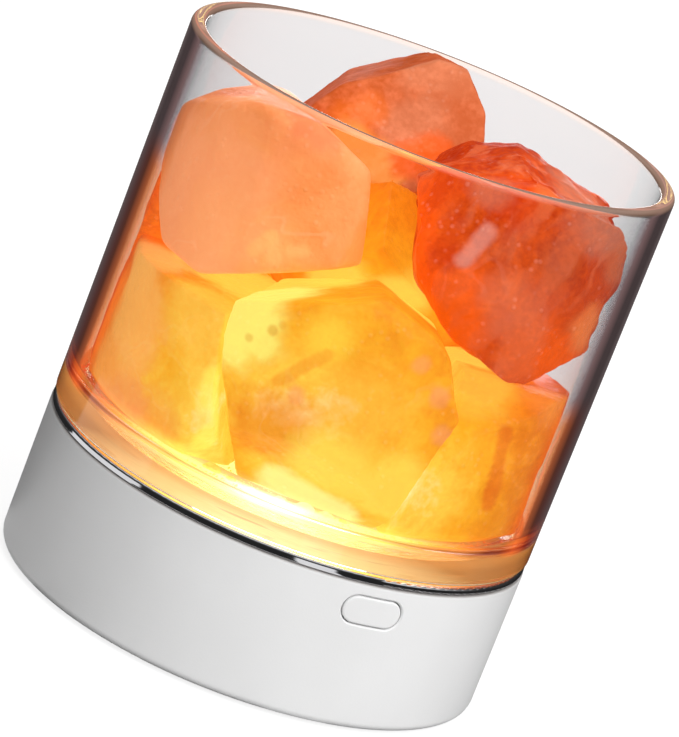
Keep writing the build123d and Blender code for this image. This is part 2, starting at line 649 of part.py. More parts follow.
def inset_outline(inset):
    """The socket's outline, drawn in by a wall."""
    with BuildSketch() as outline:
        add(socket_outline())
        offset(amount=-inset, kind=Kind.INTERSECTION, mode=Mode.REPLACE)
    return outline.sketch


# Supply socket: metal shell, tongue and contacts
with BuildPart() as usb_shell:
    with BuildSketch(facing_front(USB_MOUTH, BOARD_UNDERSIDE)):
        add(socket_outline())
        add(inset_outline(USB_SHEET), mode=Mode.SUBTRACT)
    extrude(amount=USB_LENGTH)
usb_shell.part.label = "usb_shell"
export_step(usb_shell.part, "parts/usb_shell.step")

tongue_z = BOARD_UNDERSIDE - USB_SHEET - USB_TONGUE_DROP
tongue_length = USB_LENGTH - USB_TONGUE_SETBACK
with BuildPart() as usb_tongue:
    with BuildSketch(facing_front(USB_BACK + USB_BACK_THICKNESS, BOARD_UNDERSIDE)):
        add(inset_outline(USB_SHEET + USB_INSERT_CLEARANCE))
    extrude(amount=USB_BACK_THICKNESS)
    with BuildSketch(facing_front(USB_BACK, tongue_z)):
        Rectangle(USB_TONGUE_WIDTH, USB_TONGUE_THICKNESS)
    extrude(amount=-tongue_length)
usb_tongue.part.label = "usb_tongue"
export_step(usb_tongue.part, "parts/usb_tongue.step")

contact_z = tongue_z - USB_TONGUE_THICKNESS / 2 - USB_CONTACT_THICKNESS / 2
with BuildPart() as usb_contacts:
    with BuildSketch(facing_front(USB_BACK + tongue_length, contact_z)):
        with GridLocations(USB_CONTACT_PITCH, 0, USB_CONTACT_COUNT, 1):
            Rectangle(USB_CONTACT_WIDTH, USB_CONTACT_THICKNESS)
    extrude(amount=USB_CONTACT_LENGTH)
usb_contacts.part.label = "usb_contacts"
export_step(usb_contacts.part, "parts/usb_contacts.step")


def make_screws(screw, seat, radius, count, bearing):
    """A ring of screws that point up, with their heads below the seat."""
    ring = PolarLocations(radius, count, start_angle=bearing)
    with BuildPart() as screws:
        with BuildSketch(Plane.XY.offset(seat)):
            with ring:
                Circle(screw.diameter / 2)
        extrude(amount=screw.length)
        with BuildSketch(Plane.XY.offset(seat)):
            with ring:
                Circle(screw.head_diameter / 2)
        extrude(amount=-screw.head_height)
        with BuildSketch(Plane.XY.offset(seat - screw.head_height)):
            with ring:
                Rectangle(CROSS_LENGTH, CROSS_WIDTH)
                Rectangle(CROSS_WIDTH, CROSS_LENGTH)
        extrude(amount=CROSS_DEPTH, mode=Mode.SUBTRACT)
    return screws


board_screws = make_screws(
    BOARD_SCREW, BOARD_UNDERSIDE, BOARD_POST_RADIUS, BOARD_POST_COUNT, BOARD_POST_BEARING
)
board_screws.part.label = "board_screws"
export_step(board_screws.part, "parts/board_screws.step")

cover_screw_seat = COVER_UNDERSIDE + COVER_SCREW.head_height
cover_screws = make_screws(
    COVER_SCREW, cover_screw_seat, COVER_POST_RADIUS, COVER_POST_COUNT, COVER_POST_BEARING
)
cover_screws.part.label = "cover_screws"
export_step(cover_screws.part, "parts/cover_screws.step")


# Room in the cup that the salt may fill
with BuildPart() as salt_room:
    with BuildSketch(Plane.XY.offset(CUP_FLOOR_TOP + STONE_FLOOR_CLEARANCE)):
        Circle(CUP_BORE_RADIUS - STONE_WALL_CLEARANCE)
    extrude(amount=2 * CUP_HEIGHT)
    chamfer(salt_room.edges().group_by(Axis.Z)[0], CUP_CORNER_RADIUS)


def facet(centre, bearing, tilt, depth):
    """A plane at a depth from a lump's centre, which faces out along a bearing and a tilt."""
    level = math.cos(math.radians(tilt))
    normal = Vector(
        level * math.cos(math.radians(bearing)),
        level * math.sin(math.radians(bearing)),
        math.sin(math.radians(tilt)),
    )
    return Plane(origin=centre + normal * depth, z_dir=normal)


def even_facets(centre, radius, turn, phase):
    """Facets spread evenly over a lump in a spiral, some deeper than others."""
    planes = []
    for i in range(FACET_COUNT):
        tilt = math.degrees(math.asin(1 - 2 * (i + 0.5) / FACET_COUNT))
        depth = FACET_DEPTH + FACET_DEPTH_SWING * math.sin(FACET_DEPTH_BEAT * i + phase)
        planes.append(facet(centre, turn + FACET_TURN * i, tilt, radius * depth))
    return planes


def wall_facets(stone):
    """Two flats that keep a stone off the curve of the glass."""
    reach = CUP_BORE_RADIUS - STONE_WALL_FLAT
    middle = Vector(0, 0, stone.centre().Z)
    return [facet(middle, stone.bearing + side * STONE_WALL_SPREAD, 0, reach) for side in (-1, 1)]


def contact_facets(stone):
    """Flats where a stone meets its neighbours: upright between loose stones, flatter under one."""
    planes = []
    for other in STONES:
        line = other.centre() - stone.centre()
        if stone.loose and other.loose:
            line.Z = 0
        distance = line.length
        if 0 < distance < stone.ball_radius() + other.ball_radius():
            share = (distance**2 + stone.ball_radius() ** 2 - other.ball_radius() ** 2) / (2 * distance)
            lean = 1 if stone.loose == other.loose else STONE_BED_LEAN
            normal = Vector(lean * line.X, lean * line.Y, line.Z).normalized()
            middle = stone.centre() + line.normalized() * share
            planes.append(Plane(origin=middle - normal * STONE_GAP / 2, z_dir=normal))
    return planes


def make_lump(centre, radius, planes):
    """A ball cut back to the room in the cup and to every plane."""
    with BuildPart() as lump:
        with Locations(centre):
            Sphere(radius)
        add(salt_room.part, mode=Mode.INTERSECT)
        for plane in planes:
            split(bisect_by=plane, keep=Keep.BOTTOM)
    return lump


# Salt stones
for stone in STONES:
    flats = contact_facets(stone) + wall_facets(stone) + stone.struck_facets()
    even = even_facets(stone.centre(), stone.ball_radius(), stone.turn, stone.phase)
    lump = make_lump(stone.centre(), stone.ball_radius(), flats + even)
    lump.part.label = stone.name
    export_step(lump.part, f"parts/{stone.name}.step")

# Salt chips
with BuildPart() as salt_chips:
    for bearing, scale in CRUMBS:
        size = scale * CRUMB_RADIUS
        spot = spot_in_cup(bearing, CRUMB_INSET, size / 2)
        add(make_lump(spot, size, even_facets(spot, size, bearing, bearing)).part)
salt_chips.part.label = "salt_chips"
export_step(salt_chips.part, "parts/salt_chips.step")
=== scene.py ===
import logging
import math
from dataclasses import dataclass
from enum import Enum
from typing import Any, Iterable, Optional, Protocol, Union

import bmesh
import bpy
from mathutils import Matrix, Vector


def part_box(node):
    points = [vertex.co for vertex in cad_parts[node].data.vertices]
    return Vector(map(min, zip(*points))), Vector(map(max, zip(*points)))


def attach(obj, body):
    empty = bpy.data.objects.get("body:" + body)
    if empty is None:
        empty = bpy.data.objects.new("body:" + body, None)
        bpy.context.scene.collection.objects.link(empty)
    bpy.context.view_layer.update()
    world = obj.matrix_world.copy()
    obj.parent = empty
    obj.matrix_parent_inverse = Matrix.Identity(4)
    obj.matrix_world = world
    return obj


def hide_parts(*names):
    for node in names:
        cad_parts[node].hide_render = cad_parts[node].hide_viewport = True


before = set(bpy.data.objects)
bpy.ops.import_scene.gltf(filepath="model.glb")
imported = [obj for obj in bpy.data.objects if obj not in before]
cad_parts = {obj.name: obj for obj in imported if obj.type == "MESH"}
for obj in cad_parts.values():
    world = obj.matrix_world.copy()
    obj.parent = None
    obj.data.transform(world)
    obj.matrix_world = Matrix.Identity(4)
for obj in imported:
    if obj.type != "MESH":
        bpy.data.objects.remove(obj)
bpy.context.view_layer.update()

LOG = logging.getLogger("night_light")
MM = 0.001

Colour = tuple[float, float, float, float]
Point = tuple[float, float, float]
Pair = tuple[float, float]
Quad = tuple[int, int, int, int]


def tone(red: int, green: int, blue: int) -> Colour:
    """Turn a screen colour into a linear one.

    Args:
        red: Red from 0 to 255.
        green: Green from 0 to 255.
        blue: Blue from 0 to 255.

    Returns:
        The linear colour, with an alpha of 1.
    """
    parts = [value / 255 for value in (red, green, blue)]
    linear = [p / 12.92 if p <= 0.04045 else ((p + 0.055) / 1.055) ** 2.4 for p in parts]
    return (linear[0], linear[1], linear[2], 1.0)


class Body(str, Enum):
    """The bodies that pieces ride on."""

    LAMP = "lamp"
    TOP_LEFT = "top_left_salt"
    TOP_BACK = "top_back_salt"
    TOP_RIGHT = "top_right_salt"


class Slot(str, Enum):
    """The record's finishes."""

    GLASS = "clear_glass"
    PALE_SALT = "pale_salt"
    ORANGE_SALT = "orange_salt"
    RED_SALT = "red_salt"


class Wire:
    """A node's socket that takes part in sums written in Python."""

    def __init__(self, graph: "Graph", socket: bpy.types.NodeSocket) -> None:
        """Keep the output socket and the graph that new nodes go into."""
        self.graph = graph
        self.socket = socket

    def _sum(self, operation: str, first: "Value", second: "Value" = 0.0) -> "Wire":
        """Add one Math node for two values."""
        return self.graph.node("ShaderNodeMath", {"operation": operation}, {0: first, 1: second})

    def __add__(self, other: "Value") -> "Wire":
        """This value plus another."""
        return self._sum("ADD", self, other)

    def __radd__(self, other: float) -> "Wire":
        """A number plus this value."""
        return self._sum("ADD", other, self)

    def __sub__(self, other: "Value") -> "Wire":
        """This value less another."""
        return self._sum("SUBTRACT", self, other)

    def __rsub__(self, other: float) -> "Wire":
        """A number less this value."""
        return self._sum("SUBTRACT", other, self)

    def __mul__(self, other: "Value") -> "Wire":
        """This value times another."""
        return self._sum("MULTIPLY", self, other)

    def __rmul__(self, other: float) -> "Wire":
        """A number times this value."""
        return self._sum("MULTIPLY", other, self)

    def __truediv__(self, other: "Value") -> "Wire":
        """This value over another."""
        return self._sum("DIVIDE", self, other)

    def __abs__(self) -> "Wire":
        """This value without its sign."""
        return self._sum("ABSOLUTE", self)

    def larger(self, other: "Value") -> "Wire":
        """The larger of this value and another."""
        return self._sum("MAXIMUM", self, other)

    def smaller(self, other: "Value") -> "Wire":
        """The smaller of this value and another."""
        return self._sum("MINIMUM", self, other)

    def rise(self, low: float, high: float) -> "Wire":
        """A smooth step from 0 to 1.

        Args:
            low: The value where the step starts.
            high: The value where it ends; below low, the step falls instead.

        Returns:
            The step's value, from 0 to 1.
        """
        settings = {"interpolation_type": "SMOOTHSTEP"}
        if low <= high:
            return self.graph.node("ShaderNodeMapRange", settings, {0: self, 1: low, 2: high})
        return 1.0 - self.graph.node("ShaderNodeMapRange", settings, {0: self, 1: high, 2: low})


Value = Union[Wire, float]


class Graph:
    """A node tree with one method that makes any node."""

    def __init__(self, tree: bpy.types.NodeTree) -> None:
        """Keep the tree."""
        self.tree = tree

    def node(
        self,
        kind: str,
        settings: Optional[dict[str, Any]] = None,
        sockets: Optional[dict[Union[str, int], Any]] = None,
        output: Union[str, int] = 0,
    ) -> Wire:
        """Make a node.

        Args:
            kind: The node's type.
            settings: Its settings, set first. Stops fills a colour ramp.
            sockets: Values, wires or lists of wires for its inputs, by name or number.
            output: The output to give back.

        Returns:
            The chosen output.
        """
        made = self.tree.nodes.new(kind)
        for name, value in (settings or {}).items():
            if name == "stops":
                self._fill_ramp(made.color_ramp, value)
            else:
                setattr(made, name, value)
        for key, value in (sockets or {}).items():
            wires = value if isinstance(value, list) else [value]
            for wire in wires:
                if isinstance(wire, Wire):
                    self.tree.links.new(wire.socket, made.inputs[key])
                else:
                    made.inputs[key].default_value = wire
        return Wire(self, made.outputs[output])

    @staticmethod
    def _fill_ramp(ramp: bpy.types.ColorRamp, stops: Iterable[tuple[float, Colour]]) -> None:
        """Give a colour ramp its stops.

        Args:
            ramp: The ramp.
            stops: Positions and colours, from low to high.
        """
        stops = list(stops)
        while len(ramp.elements) < len(stops):
            ramp.elements.new(1.0)
        for element, (position, colour) in zip(ramp.elements, stops):
            element.position = position
            element.color = colour

    def vector(self, operation: str, first: Any, second: Any) -> Wire:
        """Vector arithmetic.

        Args:
            operation: The Vector Math operation.
            first: The first vector.
            second: The second vector, or the factor of SCALE.

        Returns:
            The vector, or the value of DISTANCE and DOT_PRODUCT.
        """
        second_socket = "Scale" if operation == "SCALE" else 1
        output = "Value" if operation in ("DISTANCE", "DOT_PRODUCT") else 0
        return self.node(
            "ShaderNodeVectorMath", {"operation": operation}, {0: first, second_socket: second}, output
        )

    def noise(self, place: Wire, scale: Value, detail: float = 2.0, output: Union[str, int] = 0) -> Wire:
        """Cloudy noise from 0 to 1, with about scale clouds per metre and detail finer octaves."""
        return self.node(
            "ShaderNodeTexNoise", None, {"Vector": place, "Scale": scale, "Detail": detail}, output
        )

    def cells(self, place: Wire, scale: Value, feature: str = "F1") -> Wire:
        """Distance to scattered points, in cell sizes, with about scale cells per metre."""
        return self.node("ShaderNodeTexVoronoi", {"feature": feature}, {"Vector": place, "Scale": scale})


class Paint(Graph):
    """A material under construction."""

    def __init__(self, name: str) -> None:
        """Start an empty material that reads Object coordinates.

        Args:
            name: The material's name.
        """
        self.material = bpy.data.materials.new(name)
        self.material.use_nodes = True
        super().__init__(self.material.node_tree)
        self.tree.nodes.clear()
        self.place = self.node("ShaderNodeTexCoord", output="Object")

    def ramp(self, factor: Wire, *stops: tuple[float, Colour]) -> Wire:
        """A colour that runs through stops."""
        return self.node("ShaderNodeValToRGB", {"stops": stops}, {"Fac": factor})

    def mix(self, factor: Value, first: Any, second: Any) -> Wire:
        """A colour between two others."""
        return self.node("ShaderNodeMix", {"data_type": "RGBA"}, {0: factor, 6: first, 7: second}, 2)

    def bump(self, height: Wire, depth: float) -> Wire:
        """A normal that follows a height of a given depth in metres."""
        return self.node("ShaderNodeBump", None, {"Height": height, "Distance": depth, "Strength": 1.0})

    def axis(self, name: str) -> Wire:
        """One of the Object coordinates, X, Y or Z."""
        return self.node("ShaderNodeSeparateXYZ", None, {0: self.place}, name)

    def flat(self) -> Wire:
        """The place in plan."""
        return self.vector("MULTIPLY", self.place, (1.0, 1.0, 0.0))

    def radius(self) -> Wire:
        """The distance from the lamp's axis."""
        return self.vector("DISTANCE", self.flat(), (0.0, 0.0, 0.0))

    def arcs(self, across: float, along: float) -> Wire:
        """Streaks that run round the lamp's axis.

        Args:
            across: Streaks per metre, from the axis outwards and upwards.
            along: How often they break on their way round.

        Returns:
            The streaks, from 0 to 1.
        """
        heading = self.vector("SCALE", self.vector("NORMALIZE", self.flat(), (0.0, 0.0, 0.0)), along)
        depth = self.node("ShaderNodeCombineXYZ", None, {"Z": (self.radius() + self.axis("Z")) * across})
        return self.noise(self.vector("ADD", heading, depth), 1.0, 3.0)

    def finish(self, shader: Wire) -> bpy.types.Material:
        """Wire a shader to the output.

        Args:
            shader: The shader.

        Returns:
            The finished material.
        """
        out = self.tree.nodes.new("ShaderNodeOutputMaterial")
        self.tree.links.new(shader.socket, out.inputs["Surface"])
        return self.material

    def principled(self, sockets: dict[str, Any]) -> bpy.types.Material:
        """Finish with one Principled shader that has these sockets."""
        return self.finish(self.node("ShaderNodeBsdfPrincipled", None, sockets))


class Recipe(Graph):
    """A Geometry Nodes tree that is run once on an object."""

    def __init__(self, name: str) -> None:
        """Start a tree with one geometry input and one geometry output.

        Args:
            name: The tree's name.
        """
        tree = bpy.data.node_groups.new(name, "GeometryNodeTree")
        tree.interface.new_socket("Geometry", in_out="INPUT", socket_type="NodeSocketGeometry")
        tree.interface.new_socket("Geometry", in_out="OUTPUT", socket_type="NodeSocketGeometry")
        super().__init__(tree)
        self.identifiers: dict[str, str] = {}
        self.source = tree.nodes.new("NodeGroupInput")

    def geometry(self) -> Wire:
        """The geometry that comes in."""
        return Wire(self, self.source.outputs["Geometry"])

    def size(self, name: str, kind: str = "NodeSocketFloat") -> Wire:
        """Add a named input.

        Args:
            name: The input's name.
            kind: The type of its socket.

        Returns:
            The input's value.
        """
        socket = self.tree.interface.new_socket(name, in_out="INPUT", socket_type=kind)
        self.identifiers[name] = socket.identifier
        return Wire(self, self.source.outputs[name])

    def close(self, geometry: Wire, material: Wire) -> "Recipe":
        """End the tree in Realize Instances and Set Material.

        Args:
            geometry: The geometry that the tree has made.
            material: The material that it gets.

        Returns:
            This recipe.
        """
        plain = self.node("GeometryNodeRealizeInstances", None, {"Geometry": geometry})
        dressed = self.node("GeometryNodeSetMaterial", None, {"Geometry": plain, "Material": material})
        out = self.tree.nodes.new("NodeGroupOutput")
        self.tree.links.new(dressed.socket, out.inputs["Geometry"])
        return self

    def put_on(self, item: bpy.types.Object, values: dict[str, Any]) -> None:
        """Add the tree to an object, with its inputs set.

        Args:
            item: The object.
            values: The inputs' values by name.
        """
        modifier = item.modifiers.new(self.tree.name, "NODES")
        modifier.node_group = self.tree
        for name, value in values.items():
            modifier[self.identifiers[name]] = value


def link(name: str, mesh: bpy.types.Mesh) -> bpy.types.Object:
    """Put a mesh into the scene.

    Args:
        name: The object's name.
        mesh: Its mesh, in place.

    Returns:
        The new object, at the origin.
    """
    item = bpy.data.objects.new(name, mesh)
    bpy.context.scene.collection.objects.link(item)
    return item


def spin(rings: list[Pair], steps: int) -> tuple[list[Point], list[Quad]]:
    """Turn a profile round the lamp's axis.

    Args:
        rings: The radius and height of each ring.
        steps: How many points a ring has.

    Returns:
        The points, and the faces between the rings, which face upwards where the rings grow.
    """
    turn = 2 * math.pi / steps
    points = [(r * math.cos(k * turn), r * math.sin(k * turn), h) for r, h in rings for k in range(steps)]
    faces = []
    for here in range(0, (len(rings) - 1) * steps, steps):
        there = here + steps
        for step in range(steps):
            after = (step + 1) % steps
            faces.append((here + step, there + step, there + after, here + after))
    return points, faces


def settle(item: bpy.types.Object) -> bpy.types.Object:
    """Turn an object and its modifiers into a plain smooth mesh.

    Args:
        item: The object.

    Returns:
        The same object, with no modifiers.
    """
    bpy.context.view_layer.update()
    shown = item.evaluated_get(bpy.context.evaluated_depsgraph_get())
    mesh = bpy.data.meshes.new_from_object(shown)
    item.modifiers.clear()
    item.data = mesh
    mesh.shade_smooth()
    return item


def merged_copy(node: str, name: str) -> bpy.types.Object:
    """Copy a CAD node's mesh and merge its loose triangles.

    Args:
        node: The CAD node.
        name: The new object's name.

    Returns:
        The copy.
    """
    mesh = bpy.data.meshes.new_from_object(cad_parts[node])
    shell = bmesh.new()
    shell.from_mesh(mesh)
    bmesh.ops.remove_doubles(shell, verts=shell.verts, dist=1e-6)
    mesh.clear_geometry()
    shell.to_mesh(mesh)
    shell.free()
    return link(name, mesh)


def hand_over(item: bpy.types.Object, body: Body, slot: Slot, *nodes: str) -> None:
    """Give a piece its body and the CAD nodes that it stands for.

    Args:
        item: The piece.
        body: The body that it rides on.
        slot: The record's finish; not used.
        nodes: The CAD nodes that it replaces.
    """
    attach(item, body.value)
    if nodes:
        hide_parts(*nodes)
    LOG.info("%s rides on %s, %d faces", item.name, body.value, len(item.data.polygons))


class Finish(Protocol):
    """What every finish can do."""

    def make(self) -> bpy.types.Material:
        """Build the material."""


def dress(finish: Finish, *nodes: str) -> None:
    """Give CAD nodes their material.

    Args:
        finish: The finish that they share.
        nodes: The CAD nodes.
    """
    material = finish.make()
    for node in nodes:
        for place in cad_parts[node].material_slots:
            place.material = material
        LOG.info("%s wears %s", node, material.name)


@dataclass(frozen=True)
class FootGlow:
    """The lamp's light in the foot of the cup: hot in front and behind, amber at the sides."""

    side: Colour
    flank: Colour
    front: Colour
    hot: Colour
    bright_side: Point = (-0.51, -0.86, 0.0)
    fray: float = 0.14

    def colour(self, paint: Paint, streaks: Wire) -> Wire:
        """The glow by bearing.

        Args:
            paint: The material under construction.
            streaks: Arcs from 0 to 1 that fray the change of colour.

        Returns:
            The colour.
        """
        facing = abs(paint.vector("DOT_PRODUCT", paint.place, self.bright_side)) / paint.radius().larger(MM)
        return paint.ramp(
            facing + (streaks - 0.5) * self.fray,
            (0.5, self.side), (0.75, self.flank), (0.92, self.front), (1.0, self.hot),
        )


@dataclass(frozen=True)
class ClearGlass:
    """Thick clear glass with painted light: painted dark reflections along its walls, a painted golden glow
    over the lamp and a painted brown glow at its rim.
    """

    name: str = "thick_clear_glass"
    clear: Colour = (0.93, 0.93, 0.935, 1.0)
    # Tints that darken the walls seen edge on: painted dark reflections
    lilac: Colour = (0.6, 0.52, 0.56, 1.0)
    plum: Colour = (0.18, 0.105, 0.11, 1.0)
    dusk: Colour = (0.085, 0.05, 0.052, 1.0)
    grey_edge_reflection: Colour = (0.13, 0.1, 0.1, 1.0)
    # Tints of the walls beside the stones: painted light of the stones
    peach: Colour = (1.0, 0.62, 0.28, 1.0)
    ember: Colour = (1.0, 0.32, 0.07, 1.0)
    rust_red_stone_light: Colour = (0.85, 0.16, 0.04, 1.0)
    wine: Colour = (0.26, 0.03, 0.012, 1.0)
    edge: Colour = (0.12, 0.05, 0.04, 1.0)
    # Tints of the foot seen edge on: painted golden lamp light
    honey: Colour = (1.0, 0.8, 0.5, 1.0)
    amber: Colour = (0.55, 0.3, 0.11, 1.0)
    # Light that the walls give off where seen edge on: painted haze, shade and sheen
    dark: Colour = (0.0, 0.0, 0.0, 1.0)
    painted_edge_haze: Colour = (0.13, 0.07, 0.07, 1.0)
    shade: Colour = (0.035, 0.022, 0.023, 1.0)
    sheen: Colour = (0.09, 0.065, 0.066, 1.0)
    painted_warm_edge_haze: Colour = (0.32, 0.055, 0.012, 1.0)
    warm_shade: Colour = (0.035, 0.005, 0.004, 1.0)
    # Tint and glow of the rim: painted brown light carried up to the rim
    rim: Colour = (0.84, 0.72, 0.66, 1.0)
    rim_glow: Colour = (0.3, 0.18, 0.13, 1.0)
    foot_glow: FootGlow = FootGlow(
        tone(136, 50, 16), tone(244, 148, 56), tone(252, 214, 96), tone(255, 238, 142)
    )
    # A painted white-hot spot in the foot over the lamp
    hot_glow: Colour = (1.5, 1.48, 1.36, 1.0)
    hot_place: Point = (-18.0 * MM, -29.3 * MM, 0.0)
    hot_reach: float = 10.0 * MM
    hot_core: float = 2.0 * MM
    refraction: float = 1.47
    skin_radius: float = 41.0 * MM
    lit_height: float = 32.5 * MM
    warm_height: float = 64.0 * MM
    warm_fade: float = 6.0 * MM
    warm_lean: Point = (0.175, -0.096, 1.0)
    under_height: float = 27.55 * MM
    floor_height: float = 31.3 * MM
    crease_radius: float = 39.0 * MM
    crease_low: float = 32.8 * MM
    crease_high: float = 34.3 * MM
    bend_radius: float = 36.0 * MM
    bend_height: float = 34.0 * MM
    rim_height: float = 94.1 * MM
    fade: float = 1.0 * MM
    under_fade: float = 0.2 * MM
    floor_fade: float = 0.5 * MM
    crease_fade: float = 0.7 * MM
    bend_fade: float = 5.0 * MM
    bend_rise: float = 3.0 * MM
    under_light: float = 0.9
    bend_light: float = 0.5
    crease_light: float = 0.5
    streak_scale: float = 650.0
    film_scale: float = 90.0
    wave_scale: float = 55.0
    wave_depth: float = 0.00001

    def make(self) -> bpy.types.Material:
        """Build the material.

        Returns:
            The glass, with faint waves and finger-film in its gloss.
        """
        paint = Paint(self.name)
        height, radius = paint.axis("Z"), paint.radius()
        outside = radius.rise(self.skin_radius, self.skin_radius + self.fade)
        top = height.rise(self.rim_height, self.rim_height + self.fade)
        under = height.rise(self.under_height + self.under_fade, self.under_height)
        bend = radius.rise(self.bend_radius - self.bend_fade, self.bend_radius) * (1.0 - outside)
        bend = bend * height.rise(self.bend_height + self.bend_rise, self.bend_height)
        bend = bend * height.rise(self.floor_height - self.floor_fade, self.floor_height)
        crease = radius.rise(self.crease_radius - self.crease_fade, self.crease_radius) * (1.0 - outside)
        crease = crease * height.rise(self.crease_high + self.crease_fade, self.crease_high)
        crease = crease * height.rise(self.crease_low - self.crease_fade, self.crease_low)
        streaks = paint.arcs(self.streak_scale, 3.0)
        hot = paint.vector("DISTANCE", paint.flat(), self.hot_place)
        hot = hot.rise(self.hot_reach, self.hot_core)
        # Painted glow of the lamp in the foot, streaked, with a painted white-hot spot
        glow = paint.mix(hot * (0.4 + streaks * 0.6), self.foot_glow.colour(paint, streaks), self.hot_glow)
        lit = (under * self.under_light + bend * self.bend_light) * (0.45 + streaks.rise(0.3, 0.7) * 0.75)
        lit = lit + crease * self.crease_light
        tint_with_painted_light, carried = self._walls(paint, outside)
        glow = paint.mix(lit, carried, glow)
        film = paint.noise(paint.place, self.film_scale, 3.0)
        waves = paint.noise(paint.place, self.wave_scale, 1.0)
        # Base Color holds the painted tints of the walls and rim; Emission Color holds painted glow in the
        # foot, along the walls and at the rim
        return paint.principled(
            {
                "Base Color": paint.mix(top, tint_with_painted_light, self.rim),
                "Roughness": film.rise(0.5, 0.9) * 0.02 + under * 0.5 + bend * 0.12,
                "Transmission Weight": 1.0,
                "IOR": self.refraction,
                "Emission Color": paint.mix(top, glow, self.rim_glow),
                "Emission Strength": 1.0,
                "Normal": paint.bump(waves, self.wave_depth),
            }
        )

    def _walls(self, paint: Paint, outside: Wire) -> tuple[Wire, Wire]:
        """What the walls take out of the light and what light they carry, both painted light.

        Args:
            paint: The material under construction.
            outside: One on the cup's outer skin.

        Returns:
            The tint, darker where the skin is seen edge on as a painted dark reflection and warm beside the
            stones as painted stone light, and the carried light, painted along the walls.
        """
        grazing = paint.node("ShaderNodeLayerWeight", None, {"Blend": 0.5}, "Facing")
        cool = paint.ramp(
            grazing,
            (0.0, self.clear), (0.57, self.clear), (0.63, self.lilac),
            (0.69, self.plum), (0.76, self.dusk), (0.92, self.grey_edge_reflection),
        )
        warm = paint.ramp(
            grazing,
            (0.0, self.clear), (0.51, self.clear), (0.58, self.peach), (0.64, self.ember),
            (0.7, self.rust_red_stone_light), (0.77, self.wine), (0.9, self.edge),
        )
        foot = paint.ramp(
            grazing, (0.0, self.clear), (0.5, self.clear), (0.72, self.honey), (0.92, self.amber)
        )
        # Painted light given off by the walls where seen edge on, cool away from the stones and warm beside
        # them
        cool_light = paint.ramp(
            grazing,
            (0.6, self.dark), (0.67, self.painted_edge_haze), (0.75, self.shade), (0.82, self.shade), (0.94, self.sheen),
        )
        warm_light = paint.ramp(
            grazing, (0.55, self.dark), (0.64, self.painted_warm_edge_haze), (0.74, self.warm_shade), (0.96, self.sheen)
        )
        stone_height = paint.vector("DOT_PRODUCT", paint.place, self.warm_lean)
        beside = stone_height.rise(self.warm_height + self.warm_fade, self.warm_height)
        high = paint.axis("Z").rise(self.lit_height, self.lit_height + self.fade)
        wall = paint.mix(beside, cool, warm)
        tint_with_painted_light = paint.mix(outside * high, paint.mix(high, foot, self.clear), wall)
        return tint_with_painted_light, paint.mix(outside * high, self.dark, paint.mix(beside, cool_light, warm_light))


@dataclass(frozen=True)
class MouldedPlastic:
    """Moulded plastic with a fine spark-eroded grain."""

    name: str
    colour: Colour
    shade: Colour
    gloss: float = 0.42
    # A painted shadow band: its top, its depth below that and its colour
    seam_shadow_height: float = 1.0
    seam_shadow_depth: float = 0.4 * MM
    seam_shadow_colour: Colour = tone(150, 146, 144)
    cloud_scale: float = 35.0
    grain_scale: float = 2600.0
    grain_depth: float = 0.000012

    def make(self) -> bpy.types.Material:
        """Build the material.

        Returns:
            The plastic, with a grain, cloudy gloss and a painted shadow at its top edge, where it meets the
            ring.
        """
        paint = Paint(self.name)
        clouds = paint.noise(paint.place, self.cloud_scale, 3.0)
        grain = paint.noise(paint.place, self.grain_scale, 2.0)
        # Painted shadow along the top edge, under the trim ring
        shadowed_seam = paint.axis("Z").rise(self.seam_shadow_height - self.seam_shadow_depth, self.seam_shadow_height)
        plain = paint.mix(clouds.rise(0.3, 0.75), self.shade, self.colour)
        return paint.principled(
            {
                "Base Color": paint.mix(shadowed_seam, plain, self.seam_shadow_colour),
                "Roughness": self.gloss + (clouds - 0.5) * 0.12 + (grain - 0.5) * 0.06,
                "Normal": paint.bump(grain, self.grain_depth),
            }
        )


@dataclass(frozen=True)
class Metal:
    """Bare or plated metal with fine turning lines."""

    name: str
    colour: Colour
    shade: Colour
    gloss: float
    cloud_scale: float = 120.0
    line_scale: float = 900.0
    line_depth: float = 0.000002

    def make(self) -> bpy.types.Material:
        """Build the material.

        Returns:
            The metal, with lines round the lamp's axis and a cloudy gloss.
        """
        paint = Paint(self.name)
        rings = paint.node(
            "ShaderNodeTexNoise",
            {"noise_dimensions": "1D"},
            {"W": paint.radius() + paint.axis("Z"), "Scale": self.line_scale, "Detail": 3.0},
        )
        clouds = paint.noise(paint.place, self.cloud_scale, 3.0)
        return paint.principled(
            {
                "Base Color": paint.mix(clouds.rise(0.35, 0.7), self.shade, self.colour),
                "Metallic": 1.0,
                "Roughness": self.gloss + ((clouds - 0.5) * 0.8 + (rings - 0.5) * 0.5) * self.gloss,
                "Normal": paint.bump(rings, self.line_depth),
            }
        )


# A milky layer's clouds and grains per metre, and the grains' depth in metres
MILK_SCALE = 140.0
MILK_GRAIN_SCALE = 1800.0
MILK_GRAIN_DEPTH = 0.00003


def milky(paint: Paint, clouds: Wire, glow: Wire, strength: float) -> bpy.types.Material:
    """Finish a milky layer that glows.

    Args:
        paint: The material under construction.
        clouds: Clouds about 0.
        glow: The colour of its glow.
        strength: The glow's strength.

    Returns:
        The finished material.
    """
    return paint.principled(
        {
            "Base Color": paint.mix(clouds + 0.5, tone(140, 108, 62), tone(160, 130, 84)),
            "Roughness": 0.55 + clouds * 0.2,
            "Emission Color": glow,
            "Emission Strength": strength,
            "Normal": paint.bump(paint.noise(paint.place, MILK_GRAIN_SCALE), MILK_GRAIN_DEPTH),
        }
    )


